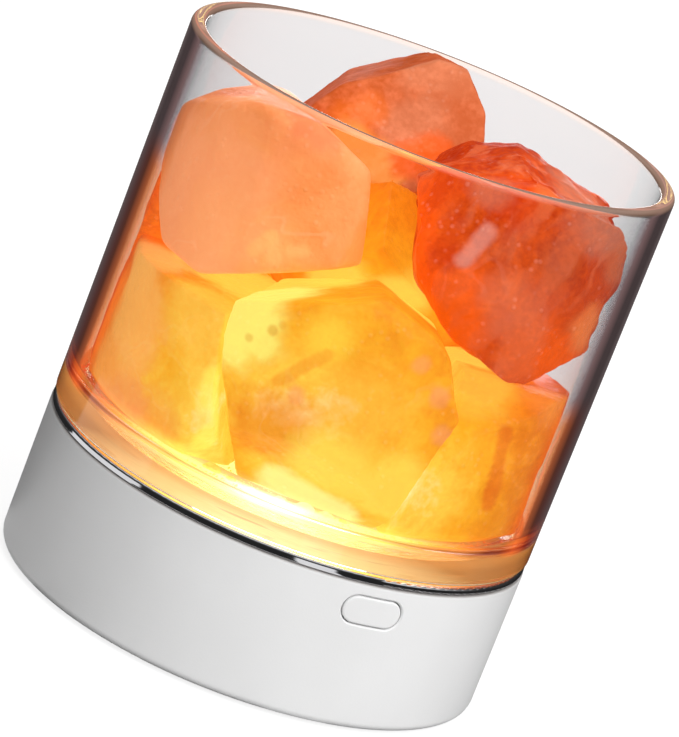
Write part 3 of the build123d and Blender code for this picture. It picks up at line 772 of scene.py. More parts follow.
@dataclass(frozen=True)
class LitLayer:
    """A milky layer that the lamps light from below, brightest on the lamp's axis."""

    name: str
    hot: Colour
    warm: Colour
    dim: Colour
    reach: float
    strength: float
    cloud: float = 0.12

    def make(self) -> bpy.types.Material:
        """Build the material.

        Returns:
            A milky plastic whose glow falls off from the axis.
        """
        paint = Paint(self.name)
        clouds = paint.noise(paint.place, MILK_SCALE, 3.0) - 0.5
        fall = paint.radius().rise(self.reach, 0.0) + clouds * self.cloud
        glow = paint.ramp(fall, (0.0, self.dim), (0.45, self.warm), (1.0, self.hot))
        return milky(paint, clouds, glow, self.strength)


@dataclass(frozen=True)
class LitBond:
    """The milky bonding ring, with the lamp's light through the foot of the cup painted on as a glow."""

    name: str = "lit_bond"
    glow: FootGlow = FootGlow(
        tone(152, 106, 60), tone(212, 176, 118), tone(222, 212, 144), tone(232, 234, 172)
    )
    inner: Colour = tone(216, 152, 84)
    line: Colour = tone(182, 124, 66)
    inner_radius: float = 26.0 * MM
    inner_fade: float = 6.0 * MM
    streak_scale: float = 600.0

    def make(self) -> bpy.types.Material:
        """Build the material.

        Returns:
            A milky bond with a painted glow and golden arcs of painted light round the lamp's axis.
        """
        paint = Paint(self.name)
        streaks = paint.arcs(self.streak_scale, 3.0)
        inside = paint.radius().rise(self.inner_radius + self.inner_fade, self.inner_radius)
        glow = self.glow.colour(paint, streaks)
        glow = paint.mix(inside * 0.45, glow, self.inner)
        glow = paint.mix(streaks.rise(0.56, 0.7) * 0.5, glow, self.line)
        return milky(paint, paint.noise(paint.place, MILK_SCALE, 3.0) - 0.5, glow, 1.0)


@dataclass(frozen=True)
class BoardLacquer:
    """Solder lacquer over copper tracks."""

    name: str = "board_lacquer"
    lacquer: Colour = tone(226, 230, 226)
    track: Colour = tone(204, 212, 206)
    track_scale: float = 130.0
    track_depth: float = 0.00003
    cloud_scale: float = 600.0

    def make(self) -> bpy.types.Material:
        """Build the material.

        Returns:
            White lacquer with raised tracks that meander under it.
        """
        paint = Paint(self.name)
        lines = abs(paint.noise(paint.place, self.track_scale, 0.0) - 0.5).rise(0.05, 0.02)
        return paint.principled(
            {
                "Base Color": paint.mix(lines, self.lacquer, self.track),
                "Roughness": 0.3 + paint.noise(paint.place, self.cloud_scale) * 0.15,
                "Normal": paint.bump(lines, self.track_depth),
            }
        )


@dataclass(frozen=True)
class Rubber:
    """Dull grey rubber with a pebbled skin."""

    name: str = "foot_rubber"
    colour: Colour = tone(70, 70, 72)
    dust: Colour = tone(112, 110, 108)
    pebble_scale: float = 1400.0
    pebble_depth: float = 0.00004

    def make(self) -> bpy.types.Material:
        """Build the material.

        Returns:
            The rubber, a little dusty in its hollows.
        """
        paint = Paint(self.name)
        pebbles = paint.cells(paint.place, self.pebble_scale)
        return paint.principled(
            {
                "Base Color": paint.mix(pebbles.rise(0.4, 0.9), self.colour, self.dust),
                "Roughness": 0.72 + pebbles * 0.15,
                "Normal": paint.bump(pebbles, self.pebble_depth),
            }
        )


@dataclass(frozen=True)
class Spot:
    """A soft-edged patch of painted glow on a stone, brighter, dimmer or tinted, in millimetres, round a
    point or along a line to its end.
    """

    at: Point
    reach: float
    colour: Colour
    weight: float = 1.0
    end: Optional[Point] = None

    def mask(self, paint: Paint, place: Wire, ragged: Wire) -> Wire:
        """How much of the patch shows.

        Args:
            paint: The material under construction.
            place: The coordinates that it is read at.
            ragged: A value about 0 that frays the patch's edge.

        Returns:
            The mask, from 0 to the patch's weight.
        """
        start = tuple(value * MM for value in self.at)
        away = paint.vector("SUBTRACT", place, start)
        if self.end is not None:
            run = tuple((last - first) * MM for first, last in zip(self.at, self.end))
            length = sum(value * value for value in run)
            along = (paint.vector("DOT_PRODUCT", away, run) / length).larger(0.0).smaller(1.0)
            away = paint.vector("SUBTRACT", away, paint.vector("SCALE", run, along))
        reach = self.reach * MM
        distance = paint.vector("DISTANCE", away, (0.0, 0.0, 0.0)) + ragged * (reach * 0.7)
        return distance.rise(reach, reach * 0.4) * self.weight


@dataclass(frozen=True)
class Salt:
    """Rock salt that glows from within.

    The glow is brightest at the heart and runs through the glow colours with the distance from it.
    Deep and pale are the colours that daylight shows on the surface.
    """

    name: str
    glow: tuple[tuple[float, Colour], ...]
    deep: Colour
    pale: Colour
    heart: Point
    reach: float
    lift: float = 0.0
    cloud: float = 0.45
    mottle: float = 1.0
    speckle: float = 0.3
    vein: float = 0.15
    gloss: float = 0.42
    sheen: float = 0.2
    strength: float = 1.0
    fibre: Point = (0.479, 0.058, 0.876)
    comb: float = 0.86
    # Pale fibres laid into the glow: the salt's crystal grain with a painted sheen
    frost_and_sheen: float = 0.0
    over_frost_and_sheen: float = 0.35
    frost_and_sheen_glow: Colour = tone(208, 98, 62)
    swirl_scale: float = 60.0
    swirl_reach: float = 0.012
    cloud_scale: float = 75.0
    wisp_scale: float = 260.0
    grain_scale: float = 900.0
    grain_depth: float = 0.0003
    dot_scale: float = 620.0
    dot_patch: float = 210.0
    line_scale: float = 95.0
    line_patch: float = 55.0
    fibre_scale: float = 260.0
    mark: Colour = tone(255, 226, 205)
    spots: tuple[Spot, ...] = ()

    def make(self) -> bpy.types.Material:
        """Build the material.

        Returns:
            The salt, with clouds, veins, speckles and a sugary grain.
        """
        paint = Paint(self.name)
        swirl = paint.noise(paint.place, self.swirl_scale, 3.0, "Color")
        drift = paint.vector("SCALE", paint.vector("SUBTRACT", swirl, (0.5, 0.5, 0.5)), self.swirl_reach)
        place = paint.vector("ADD", paint.place, drift)
        heart = tuple(value * MM for value in self.heart)
        near = 1.0 - paint.vector("DISTANCE", place, heart) / (self.reach * MM)
        clouds = paint.noise(place, self.cloud_scale, 4.0) - 0.5
        wisps = paint.noise(place, self.wisp_scale, 4.0) - 0.5
        grain = paint.noise(paint.place, self.grain_scale, 3.0) - 0.5
        level = near + self.lift + clouds * self.cloud
        level = level + wisps * (self.cloud * 0.6) + grain * (self.cloud * 0.3)
        glow = paint.ramp(level, *self.glow)
        dots = paint.cells(paint.place, self.dot_scale).rise(0.34, 0.1)
        dots = dots * paint.noise(place, self.dot_patch).rise(0.42, 0.62)
        lines = abs(paint.noise(place, self.line_scale) - 0.5).rise(0.03, 0.008)
        lines = lines * paint.noise(place, self.line_patch).rise(0.5, 0.62)
        marks = (dots * self.speckle).larger(lines * self.vein)
        mottles = wisps * (self.mottle * 1.2) + grain * self.mottle
        skin = paint.mix((clouds + mottles + 0.5).rise(0.25, 0.8), self.deep, self.pale)
        skin = paint.mix(marks, skin, self.mark)
        along = paint.vector("DOT_PRODUCT", place, self.fibre)
        combed = paint.vector("SUBTRACT", place, paint.vector("SCALE", self.fibre, along * self.comb))
        # Pale fibres of the crystal grain in the glow, partly painted sheen
        fibres = paint.noise(combed, self.fibre_scale, 3.0).rise(0.5, 0.66)
        glow = paint.mix(fibres * self.frost_and_sheen, glow, self.frost_and_sheen_glow)
        # Patches of painted glow: brighter, dimmer or tinted light on each stone
        for spot in self.spots:
            glow = paint.mix(spot.mask(paint, paint.place, wisps), glow, spot.colour)
        glow = paint.mix(fibres * (self.frost_and_sheen * self.over_frost_and_sheen), glow, self.frost_and_sheen_glow)
        height = grain * 0.5 + wisps + dots * 0.3
        return paint.principled(
            {
                "Base Color": skin,
                "Roughness": self.gloss + grain * 0.25 + clouds * 0.15,
                "Specular IOR Level": self.sheen,
                "Emission Color": glow,
                "Emission Strength": self.strength,
                "Normal": paint.bump(height, self.grain_depth),
            }
        )


@dataclass
class GlassCup:
    """The thick-walled cup, turned from one profile."""

    wall: float = 2.6 * MM
    floor: float = 4.0 * MM
    corner: float = 4.0 * MM
    rim_round: float = 1.0 * MM
    heel_round: float = 1.2 * MM
    seat: float = 0.05 * MM
    guard: float = 0.25 * MM
    segments: int = 288
    arc_steps: int = 10

    def _arc(self, x: float, z: float, radius: float, start: float, end: float) -> list[Pair]:
        """Points on an arc of the profile.

        Args:
            x: The centre's distance from the axis.
            z: The centre's height.
            radius: The arc's radius.
            start: The first angle in degrees.
            end: The last angle in degrees.

        Returns:
            The points as radius and height, both ends among them.
        """
        points = []
        for step in range(self.arc_steps + 1):
            angle = math.radians(start + (end - start) * step / self.arc_steps)
            points.append((x + radius * math.cos(angle), z + radius * math.sin(angle)))
        return points

    def _profile(self) -> list[Pair]:
        """The cup's half section.

        Returns:
            Its points, from the middle of the underside to the middle of the floor.
        """
        low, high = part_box("glass_cup")
        outer, top, bottom = high.x, high.z, low.z - self.seat
        bore, floor_top = outer - self.wall, low.z + self.floor
        arcs = [
            self._arc(outer - self.heel_round, bottom + self.heel_round, self.heel_round, -90, 0),
            self._arc(outer - self.rim_round, top - self.rim_round, self.rim_round, 0, 90),
            self._arc(bore + self.rim_round, top - self.rim_round, self.rim_round, 90, 180),
            self._arc(bore - self.corner, floor_top + self.corner, self.corner, 0, -90),
        ]
        points = [(0.0, bottom)]
        for arc in arcs:
            points += self._guarded(points[-1], arc[0]) + arc
        return points + self._guarded(points[-1], (0.0, floor_top)) + [(0.0, floor_top)]

    def _guarded(self, start: Pair, end: Pair) -> list[Pair]:
        """Points that keep the shading of a straight run flat.

        Args:
            start: The run's start.
            end: The run's end.

        Returns:
            A point just inside each end, or none in a short run.
        """
        run = Vector(end) - Vector(start)
        if run.length < 4 * self.guard:
            return []
        inset = run.normalized() * self.guard
        return [tuple(Vector(start) + inset), tuple(Vector(end) - inset)]

    def build(self, material: bpy.types.Material) -> None:
        """Turn the profile into the cup.

        Args:
            material: The glass.
        """
        profile = self._profile()
        points, sides = spin(profile[1:-1], self.segments)
        faces: list[tuple[int, ...]] = [(a, d, c, b) for a, b, c, d in sides]
        last, under, over = len(points) - self.segments, len(points), len(points) + 1
        points += [(0.0, 0.0, profile[0][1]), (0.0, 0.0, profile[-1][1])]
        for step in range(self.segments):
            after = (step + 1) % self.segments
            faces += [(under, after, step), (over, last + step, last + after)]
        mesh = bpy.data.meshes.new("glass_cup_turned")
        mesh.from_pydata(points, [], faces)
        mesh.materials.append(material)
        mesh.shade_smooth()
        hand_over(link("turned_glass_cup", mesh), Body.LAMP, Slot.GLASS, "glass_cup")


@dataclass(frozen=True)
class Lump:
    """One stone: the node that it stands for, its salt and how its surface has weathered."""

    node: str
    salt: Salt
    body: Body = Body.LAMP
    slot: Slot = Slot.ORANGE_SALT
    hollow: float = 0.9
    grit: float = 0.16
    rounding: int = 6
    voxel: float = 0.5


# Glow of the low stones, from far off the lamp to close by it
LOW_GLOW = (
    (0.0, tone(203, 48, 0)),
    (0.25, tone(220, 90, 0)),
    (0.45, tone(236, 130, 14)),
    (0.65, tone(244, 170, 28)),
    (0.85, tone(252, 206, 70)),
    (1.0, tone(255, 244, 180)),
)
# Glow of the red stones on top
RED_GLOW = (
    (0.0, tone(134, 22, 0)),
    (0.3, tone(160, 34, 0)),
    (0.55, tone(180, 44, 0)),
    (0.8, tone(212, 76, 4)),
    (1.0, tone(240, 120, 12)),
)
# Glow of the matte stone at the back
ROSY_GLOW = (
    (0.0, tone(146, 54, 14)),
    (0.5, tone(158, 54, 8)),
    (1.0, tone(190, 80, 18)),
)
# Glow of the pale stone
PALE_GLOW = (
    (0.0, tone(202, 98, 48)),
    (0.4, tone(216, 120, 62)),
    (0.7, tone(224, 128, 54)),
    (1.0, tone(240, 150, 46)),
)

# Colours of painted glow patches on the stones
WHITE_HOT = tone(255, 244, 96)
YELLOW = tone(250, 222, 84)
ORANGE = tone(228, 122, 12)
RED = tone(214, 56, 8)
PINK = tone(238, 150, 90)
ROSE = tone(220, 132, 112)
DIM_PIT_GLOW = tone(206, 138, 20)
SCRIBBLE = tone(250, 176, 92)


def low_salt(name: str, heart: Point, reach: float, **changes: Any) -> Salt:
    """The orange salt of the low stones.

    Args:
        name: The material's name.
        heart: The brightest place, in millimetres.
        reach: How far the glow carries, in millimetres.
        changes: Other fields that differ.

    Returns:
        The salt.
    """
    low = {
        "deep": tone(150, 84, 10), "pale": tone(186, 116, 30),
        "cloud": 0.36, "mottle": 0.5, "speckle": 0.08, "vein": 0.06, **changes,
    }
    return Salt(name, LOW_GLOW, heart=heart, reach=reach, **low)


# Painted light and shade on the stones: patches of brighter, dimmer or tinted glow
TOP_LEFT_SPOTS = (
    Spot((-39.4, -4.2, 71.7), 14, tone(243, 152, 96), 0.85, (-38.2, -9.6, 63.5)),
    Spot((-36.0, -9.0, 76.0), 17, tone(240, 150, 98), 0.65),
    Spot((-33.0, -15.0, 69.0), 12, tone(246, 162, 98), 0.6),
    Spot((-21.0, -24.0, 78.0), 13, tone(222, 116, 16), 0.65),
    Spot((-31.0, 8.0, 88.0), 7, tone(190, 78, 24), 0.8, (-27.5, -17.0, 92.0)),
    Spot((-31.5, -20.3, 69.5), 1.6, SCRIBBLE, 0.6, (-30.2, -21.2, 72.5)),
    Spot((-29.8, -21.4, 72.5), 1.6, SCRIBBLE, 0.6, (-28.6, -22.0, 69.5)),
    Spot((-27.0, -23.0, 71.5), 1.6, SCRIBBLE, 0.6, (-25.0, -23.8, 72.3)),
)
TOP_BACK_SPOTS = (
    Spot((0.1, 8.4, 87.2), 6, tone(182, 110, 80), 0.8, (4.0, 8.7, 90.0)),
    Spot((9.0, 12.6, 98.0), 6, tone(192, 114, 82), 0.8, (3.0, 14.0, 97.0)),
    Spot((12.0, 8.5, 95.0), 6, tone(182, 92, 58), 0.6, (10.0, 7.0, 88.0)),
    Spot((-7.7, 11.7, 85.9), 4.5, tone(212, 92, 14), 0.75, (-4.7, 12.0, 88.3)),
    Spot((-7.6, 9.9, 82.8), 5, tone(240, 148, 64), 0.9, (-1.2, 4.9, 81.0)),
    # Painted red light cast on this stone by the deep red stone beside it
    Spot((2.2, 4.9, 83.6), 5, tone(234, 80, 2), 0.9, (5.5, 5.5, 85.0)),
)
TOP_RIGHT_SPOTS = (
    Spot((-3.6, -33.2, 73.9), 9, tone(244, 88, 0), 1.0, (-1.7, -33.9, 68.7)),
    Spot((-8.0, -18.0, 84.5), 7, tone(250, 84, 0), 1.0, (-7.3, -27.5, 76.4)),
    Spot((16.9, -34.9, 69.0), 10, tone(240, 88, 8), 0.95),
    Spot((21.0, -33.0, 77.0), 9, tone(196, 64, 16), 0.8),
    Spot((21.8, -17.9, 91.9), 9, tone(196, 122, 96), 0.8, (18.0, -30.0, 91.0)),
    Spot((2.9, -29.0, 91.8), 8, tone(208, 54, 0), 0.8),
    Spot((7.5, -32.1, 94.1), 4, tone(236, 120, 62), 0.7),
    Spot((24.7, -30.9, 85.6), 6, tone(200, 108, 72), 0.7),
    Spot((9.3, -36.7, 71.7), 6, tone(222, 104, 62), 0.8, (5.0, -35.5, 76.0)),
    Spot((10.3, -37.3, 66.8), 6, tone(230, 100, 48), 0.8),
    Spot((22.7, -32.5, 73.6), 6, tone(240, 128, 66), 0.9),
    Spot((12.0, -36.4, 78.9), 5, tone(208, 90, 54), 0.6),
    Spot((-6.0, -22.0, 88.0), 6, tone(222, 68, 4), 0.85),
    Spot((12.0, -35.6, 84.2), 6, tone(164, 68, 40), 0.6),
    Spot((-4.7, -27.0, 83.5), 4, tone(196, 50, 0), 0.8, (-4.6, -29.5, 79.0)),
    Spot((-2.4, -31.0, 79.8), 2.3, ROSE, 1.0, (0.2, -30.7, 84.6)),
    Spot((-0.3, -27.1, 91.1), 5, tone(200, 110, 84), 0.75),
)
LOWER_LEFT_SPOTS = (
    Spot((-34.0, -15.0, 36.0), 8, tone(240, 152, 66), 0.6),
    Spot((-36.0, 1.0, 58.5), 9, tone(250, 178, 94), 0.85),
    Spot((-38.7, -8.7, 36.5), 8, tone(246, 156, 88), 0.75),
    Spot((-20.0, 0.0, 58.2), 15, YELLOW, 0.75),
    Spot((-33.0, -15.0, 56.0), 10, tone(250, 196, 68), 0.75),
    Spot((-39.5, -2.9, 53.5), 9, tone(252, 178, 86), 0.9, (-39.1, -6.0, 46.5)),
    Spot((-38.5, 7.0, 42.0), 7, tone(252, 130, 26), 0.85, (-38.5, 6.0, 49.0)),
    Spot((-39.6, -0.8, 39.0), 7, tone(252, 162, 70), 0.85),
    Spot((-28.0, -21.5, 36.0), 3, WHITE_HOT, 0.7, (-31.7, -23.5, 48.0)),
)
LOWER_FRONT_SPOTS = (
    Spot((-23.3, -30.9, 44.1), 10, ORANGE, 0.7),
    Spot((-12.9, -35.2, 41.0), 10, YELLOW, 0.9),
    Spot((-3.0, -38.4, 41.0), 9, YELLOW, 0.9),
    Spot((-14.8, -5.8, 62.0), 15, YELLOW, 0.9),
    Spot((4.5, -12.6, 63.8), 8, YELLOW, 0.8),
    Spot((-12.0, -36.5, 55.0), 11, tone(244, 158, 36), 0.5),
    Spot((-19.0, -30.0, 62.0), 6, tone(252, 212, 64), 0.8),
    Spot((-30.5, -23.0, 58.0), 10, tone(255, 248, 120), 0.95, (-23.1, -16.0, 62.2)),
    Spot((-16.6, -27.1, 34.8), 5, tone(255, 248, 150), 0.9, (-7.0, -31.4, 33.2)),
    Spot((-24.7, -29.7, 52.1), 1.4, ORANGE, 0.4, (-19.6, -32.9, 59.3)),
    Spot((-6.4, -38.2, 62.8), 2.2, PINK, 0.7),
    Spot((-1.2, -38.6, 58.4), 2.4, PINK, 0.7),
    Spot((1.3, -38.8, 52.3), 2.4, PINK, 0.7),
    Spot((-21.8, -32.0, 51.0), 2.0, PINK, 0.6),
    Spot((-29.5, -25.3, 56.7), 1.1, DIM_PIT_GLOW, 0.4),
    Spot((-27.2, -27.4, 59.4), 1.2, DIM_PIT_GLOW, 0.5),
    Spot((-26.3, -28.2, 60.9), 0.9, DIM_PIT_GLOW, 0.3),
)
LOWER_RIGHT_SPOTS = (
    Spot((9.8, -27.5, 59.5), 10, YELLOW, 0.55),
    Spot((12.8, -15.5, 59.3), 9, YELLOW, 0.8),
    Spot((33.0, -20.0, 46.0), 16, tone(236, 84, 22), 0.8),
    Spot((21.8, -32.0, 60.9), 7, tone(250, 140, 54), 0.85),
    Spot((13.5, -36.0, 54.0), 2.0, RED, 0.5, (15.5, -36.0, 42.0)),
)
CORE_SPOTS = (
    Spot((-7.7, -4.8, 63.0), 8, YELLOW, 0.8),
    Spot((1.1, -11.3, 65.0), 6, YELLOW, 0.8),
)

LUMPS = (
    Lump(
        "top_left_stone",
        Salt(
            "pale_salmon_salt", PALE_GLOW, tone(205, 124, 82), tone(226, 160, 118),
            (-26, -22, 66), 60, cloud=0.3, mottle=0.25, speckle=0.08, vein=0.15,
            spots=TOP_LEFT_SPOTS,
        ),
        Body.TOP_LEFT, Slot.PALE_SALT, hollow=0.5, grit=0.05, rounding=30,
    ),
    Lump(
        "top_back_stone",
        Salt(
            "matte_red_salt", ROSY_GLOW, tone(132, 62, 26), tone(164, 94, 62),
            (-2, 6, 76), 45, cloud=0.5, mottle=0.7, speckle=0.05, vein=0.02, gloss=0.6, sheen=0.1,
            frost_and_sheen=0.3, frost_and_sheen_glow=tone(186, 104, 72), spots=TOP_BACK_SPOTS,
        ),
        Body.TOP_BACK, Slot.RED_SALT, hollow=1.2, grit=0.3, rounding=8,
    ),
    Lump(
        "top_right_stone",
        Salt(
            "deep_red_salt", RED_GLOW, tone(112, 30, 0), tone(150, 60, 10),
            (-6, -30, 70), 62, lift=-0.06, cloud=0.6, speckle=0.12, vein=0.04, gloss=0.4, sheen=0.08,
            frost_and_sheen=0.65, grain_depth=0.00045, spots=TOP_RIGHT_SPOTS,
        ),
        Body.TOP_RIGHT, Slot.RED_SALT, hollow=2.3, grit=0.6, rounding=8,
    ),
    Lump(
        "lower_left_stone",
        low_salt(
            "left_orange_salt", (-26, -27, 40), 50,
            deep=tone(168, 104, 38), pale=tone(200, 142, 80), lift=0.04, vein=0.08,
            spots=LOWER_LEFT_SPOTS,
        ),
    ),
    Lump(
        "lower_front_stone",
        low_salt("front_yellow_salt", (-18, -32, 48), 62, lift=-0.08, spots=LOWER_FRONT_SPOTS),
        hollow=0.7,
    ),
    Lump(
        "lower_right_stone",
        low_salt("right_orange_salt", (0, -36, 40), 46, lift=-0.06, spots=LOWER_RIGHT_SPOTS),
    ),
    Lump("lower_back_left_stone", low_salt("back_left_orange_salt", (-4, 12, 30), 56)),
    Lump("lower_back_right_stone", low_salt("back_right_orange_salt", (8, 4, 30), 56)),
    Lump(
        "core_stone",
        Salt(
            "core_orange_salt", LOW_GLOW, tone(130, 60, 4), tone(160, 84, 10),
            (0, -12, 62), 60, lift=-0.28, cloud=0.3, speckle=0.05, vein=0.05,
            spots=CORE_SPOTS,
        ),
    ),
    Lump(
        "wedge_stone",
        Salt("wedge_red_salt", RED_GLOW, tone(140, 64, 28), tone(176, 96, 56), (-20, 8, 52), 60, lift=0.25),
        slot=Slot.RED_SALT,
    ),
)


@dataclass
class SaltPile:
    """The stones in the cup, the crumbs between them and the grains on the floor."""

    hollow_scale: float = 70.0
    grit_scale: float = 420.0
    scallop_ratio: float = 2.2
    scallop_share: float = 0.4
    crest: float = 0.15
    crumb_voxel: float = 0.16
    dust_inner: float = 24.0
    dust_density: float = 700000.0
    clump_scale: float = 120.0
    grain_size: float = 0.36
    grain_least: Point = (0.35, 0.3, 0.25)
    grain_most: Point = (1.0, 0.8, 0.6)
    grain_room: float = 0.45
    bed_rings: int = 16
    bed_turn: float = 60.0
    bed_steps: int = 144
    seed: int = 7

    def weathering(self) -> Recipe:
        """A tree that wears a stone's surface inwards.

        Returns:
            The tree, with hollows, scallops and grit as named inputs.
        """
        recipe = Recipe("weathered_salt")
        names = ("Hollow depth", "Grit depth", "Hollow scale", "Grit scale", "Crest")
        hollow, grit, hollow_scale, grit_scale, crest = (recipe.size(name) for name in names)
        material = recipe.size("Material", "NodeSocketMaterial")
        place = recipe.node("GeometryNodeInputPosition")
        normal = recipe.node("GeometryNodeInputNormal")
        broad = recipe.noise(place, hollow_scale, 2.0).rise(0.35, 0.75)
        scallops = recipe.cells(place, hollow_scale * self.scallop_ratio, "SMOOTH_F1")
        fine = recipe.noise(place, grit_scale, 4.0)
        depth = broad * (1 - self.scallop_share) + scallops * self.scallop_share
        depth = (depth - crest) * hollow + (fine - crest) * grit
        inwards = recipe.vector("SCALE", normal, 0.0 - depth)
        worn = recipe.node(
            "GeometryNodeSetPosition", None, {"Geometry": recipe.geometry(), "Offset": inwards}
        )
        return recipe.close(worn, material)

    def build(self) -> None:
        """Make every stone, the crumbs and the dust."""
        recipe = self.weathering()
        pieces = [self._stone(recipe, lump) for lump in LUMPS]
        crumbs = Lump(
            "salt_chips",
            Salt(
                "crumb_salt", LOW_GLOW, tone(176, 110, 70), tone(220, 160, 120),
                (-17, -33, 32), 44, lift=0.1,
            ),
            slot=Slot.PALE_SALT, hollow=0.2, grit=0.08, rounding=2, voxel=self.crumb_voxel,
        )
        pieces.append(self._stone(recipe, crumbs))
        self._dust(pieces, crumbs.salt.make())

    def _bed(self) -> bpy.types.Mesh:
        """The bare floor of the cup with the lower half of its corner, as a sheet.

        Returns:
            The sheet, which faces upwards.
        """
        cup = GlassCup()
        low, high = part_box("glass_cup")
        bend = high.x - cup.wall - cup.corner
        floor = low.z + cup.floor
        profile = [(self.dust_inner * MM, floor), (bend, floor)]
        for step in range(1, self.bed_rings + 1):
            angle = math.radians(self.bed_turn * step / self.bed_rings)
            across, up = math.sin(angle), 1 - math.cos(angle)
            profile.append((bend + cup.corner * across, floor + cup.corner * up))
        points, faces = spin(profile, self.bed_steps)
        mesh = bpy.data.meshes.new("dust_bed")
        mesh.from_pydata(points, [], faces)
        return mesh

    def _dust(self, stones: list[bpy.types.Object], material: bpy.types.Material) -> None:
        """Scatter grains on the floor as one piece, clear of the stones.

        Args:
            stones: The pieces that the grains keep clear of.
            material: The grains' salt.
        """
        recipe = Recipe("floor_dust")
        density, size, room = recipe.size("Density"), recipe.size("Grain size"), recipe.size("Room")
        finish = recipe.size("Material", "NodeSocketMaterial")
        place = recipe.node("GeometryNodeInputPosition")
        clumps = recipe.noise(place, self.clump_scale, 2.0).rise(0.4, 0.65)
        sown = recipe.node(
            "GeometryNodeDistributePointsOnFaces",
            None,
            {"Mesh": recipe.geometry(), "Density": density * clumps, "Seed": self.seed},
        )
        upwards = Wire(recipe, sown.socket.node.outputs["Normal"])
        above = recipe.vector("SCALE", upwards, size)
        raised = recipe.node("GeometryNodeSetPosition", None, {"Geometry": sown, "Offset": above})
        shells = [recipe.node("GeometryNodeObjectInfo", None, {"Object": s}, "Geometry") for s in stones]
        pile = recipe.node("GeometryNodeJoinGeometry", None, {"Geometry": shells})
        gap = recipe.node("GeometryNodeProximity", {"target_element": "FACES"}, {0: pile}, "Distance")
        taken = recipe.node("ShaderNodeMath", {"operation": "LESS_THAN"}, {0: gap, 1: room})
        free = recipe.node("GeometryNodeDeleteGeometry", None, {"Geometry": raised, "Selection": taken})
        ranges = (((0.0, 0.0, 0.0), (math.tau, math.tau, math.tau)), (self.grain_least, self.grain_most))
        turns, stretch = (
            recipe.node(
                "FunctionNodeRandomValue",
                {"data_type": "FLOAT_VECTOR"},
                {0: least, 1: most, "Seed": self.seed + number},
            )
            for number, (least, most) in enumerate(ranges)
        )
        grain = recipe.node("GeometryNodeMeshIcoSphere", None, {"Radius": size, "Subdivisions": 1})
        grains = recipe.node(
            "GeometryNodeInstanceOnPoints",
            None,
            {"Points": free, "Instance": grain, "Rotation": turns, "Scale": stretch},
        )
        recipe.close(grains, finish)
        dust = link("floor_dust", self._bed())
        recipe.put_on(
            dust,
            {
                "Density": self.dust_density,
                "Grain size": self.grain_size * MM,
                "Room": self.grain_room * MM,
                "Material": material,
            },
        )
        hand_over(settle(dust), Body.LAMP, Slot.PALE_SALT)

    def _stone(self, recipe: Recipe, lump: Lump) -> bpy.types.Object:
        """Weather one stone.

        Args:
            recipe: The weathering tree.
            lump: The stone.

        Returns:
            The finished piece.
        """
        stone = merged_copy(lump.node, "weathered_" + lump.node)
        shell = stone.modifiers.new("even_shell", "REMESH")
        shell.mode = "VOXEL"
        shell.voxel_size = lump.voxel * MM
        soft = stone.modifiers.new("soft_edges", "SMOOTH")
        soft.factor = 0.5
        soft.iterations = lump.rounding
        recipe.put_on(
            stone,
            {
                "Hollow depth": lump.hollow * MM,
                "Grit depth": lump.grit * MM,
                "Hollow scale": self.hollow_scale,
                "Crest": self.crest,
                "Grit scale": self.grit_scale,
                "Material": lump.salt.make(),
            },
        )
        hand_over(settle(stone), lump.body, lump.slot, lump.node)
        return stone


@dataclass
class BaseUnit:
    """The white base with its ring, button, cover, screws, feet and socket."""

    white: Colour = tone(235, 235, 235)
    white_shade: Colour = tone(230, 230, 230)

    def dress(self) -> None:
        """Give each CAD node of the base its finish."""
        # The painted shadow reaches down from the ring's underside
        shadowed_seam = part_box("trim_ring")[0].z
        housing = MouldedPlastic("satin_white_plastic", self.white, self.white_shade, seam_shadow_height=shadowed_seam)
        dress(housing, "base_housing", "button_cap", "bottom_cover", "switch_plunger")
        dress(Metal("bright_trim", tone(238, 238, 240), tone(226, 226, 230), 0.06), "trim_ring")
        steel = Metal("screw_steel", tone(196, 198, 202), tone(168, 170, 176), 0.28)
        dress(steel, "usb_shell", "board_screws", "cover_screws")
        dress(Rubber(), "rubber_feet")
        black = MouldedPlastic("black_plastic_body", tone(26, 26, 28), tone(20, 20, 21), 0.5)
        dress(black, "control_chip", "switch_body", "usb_tongue")
        dress(Metal("contact_gold", tone(232, 190, 96), tone(214, 168, 76), 0.2), "usb_contacts")


@dataclass
class LightEngine:
    """The board with its lamps, and the milky layers that they light."""

    window_reach: float = 1.2 * 23.8 * MM
    window_strength: float = 2.5
    phosphor_reach: float = 30.0 * MM
    phosphor_strength: float = 4.0

    def dress(self) -> None:
        """Give each CAD node of the lamp its finish."""
        window = LitLayer(
            "lit_window", tone(255, 250, 226), tone(255, 232, 160), tone(255, 204, 104),
            self.window_reach, self.window_strength,
        )
        dress(window, "diffuser_window")
        dress(LitBond(), "cup_adhesive")
        dress(BoardLacquer(), "light_board")
        dress(MouldedPlastic("lamp_ceramic", tone(238, 236, 228), tone(226, 222, 212)), "led_packages")
        phosphor = LitLayer(
            "lit_phosphor", tone(255, 240, 170), tone(255, 222, 120), tone(250, 200, 90),
            self.phosphor_reach, self.phosphor_strength,
        )
        dress(phosphor, "led_phosphors")
        dress(MouldedPlastic("resistor_body", tone(44, 46, 52), tone(60, 62, 70), 0.35), "chip_resistors")
        dress(Metal("can_aluminium", tone(206, 208, 212), tone(186, 188, 194), 0.3), "filter_capacitor")


@dataclass(frozen=True)
class Softbox:
    """A square soft lamp: its place in degrees and metres, its side in metres and its power."""

    name: str
    bearing: float
    elevation: float
    distance: float
    side: float
    watts: float


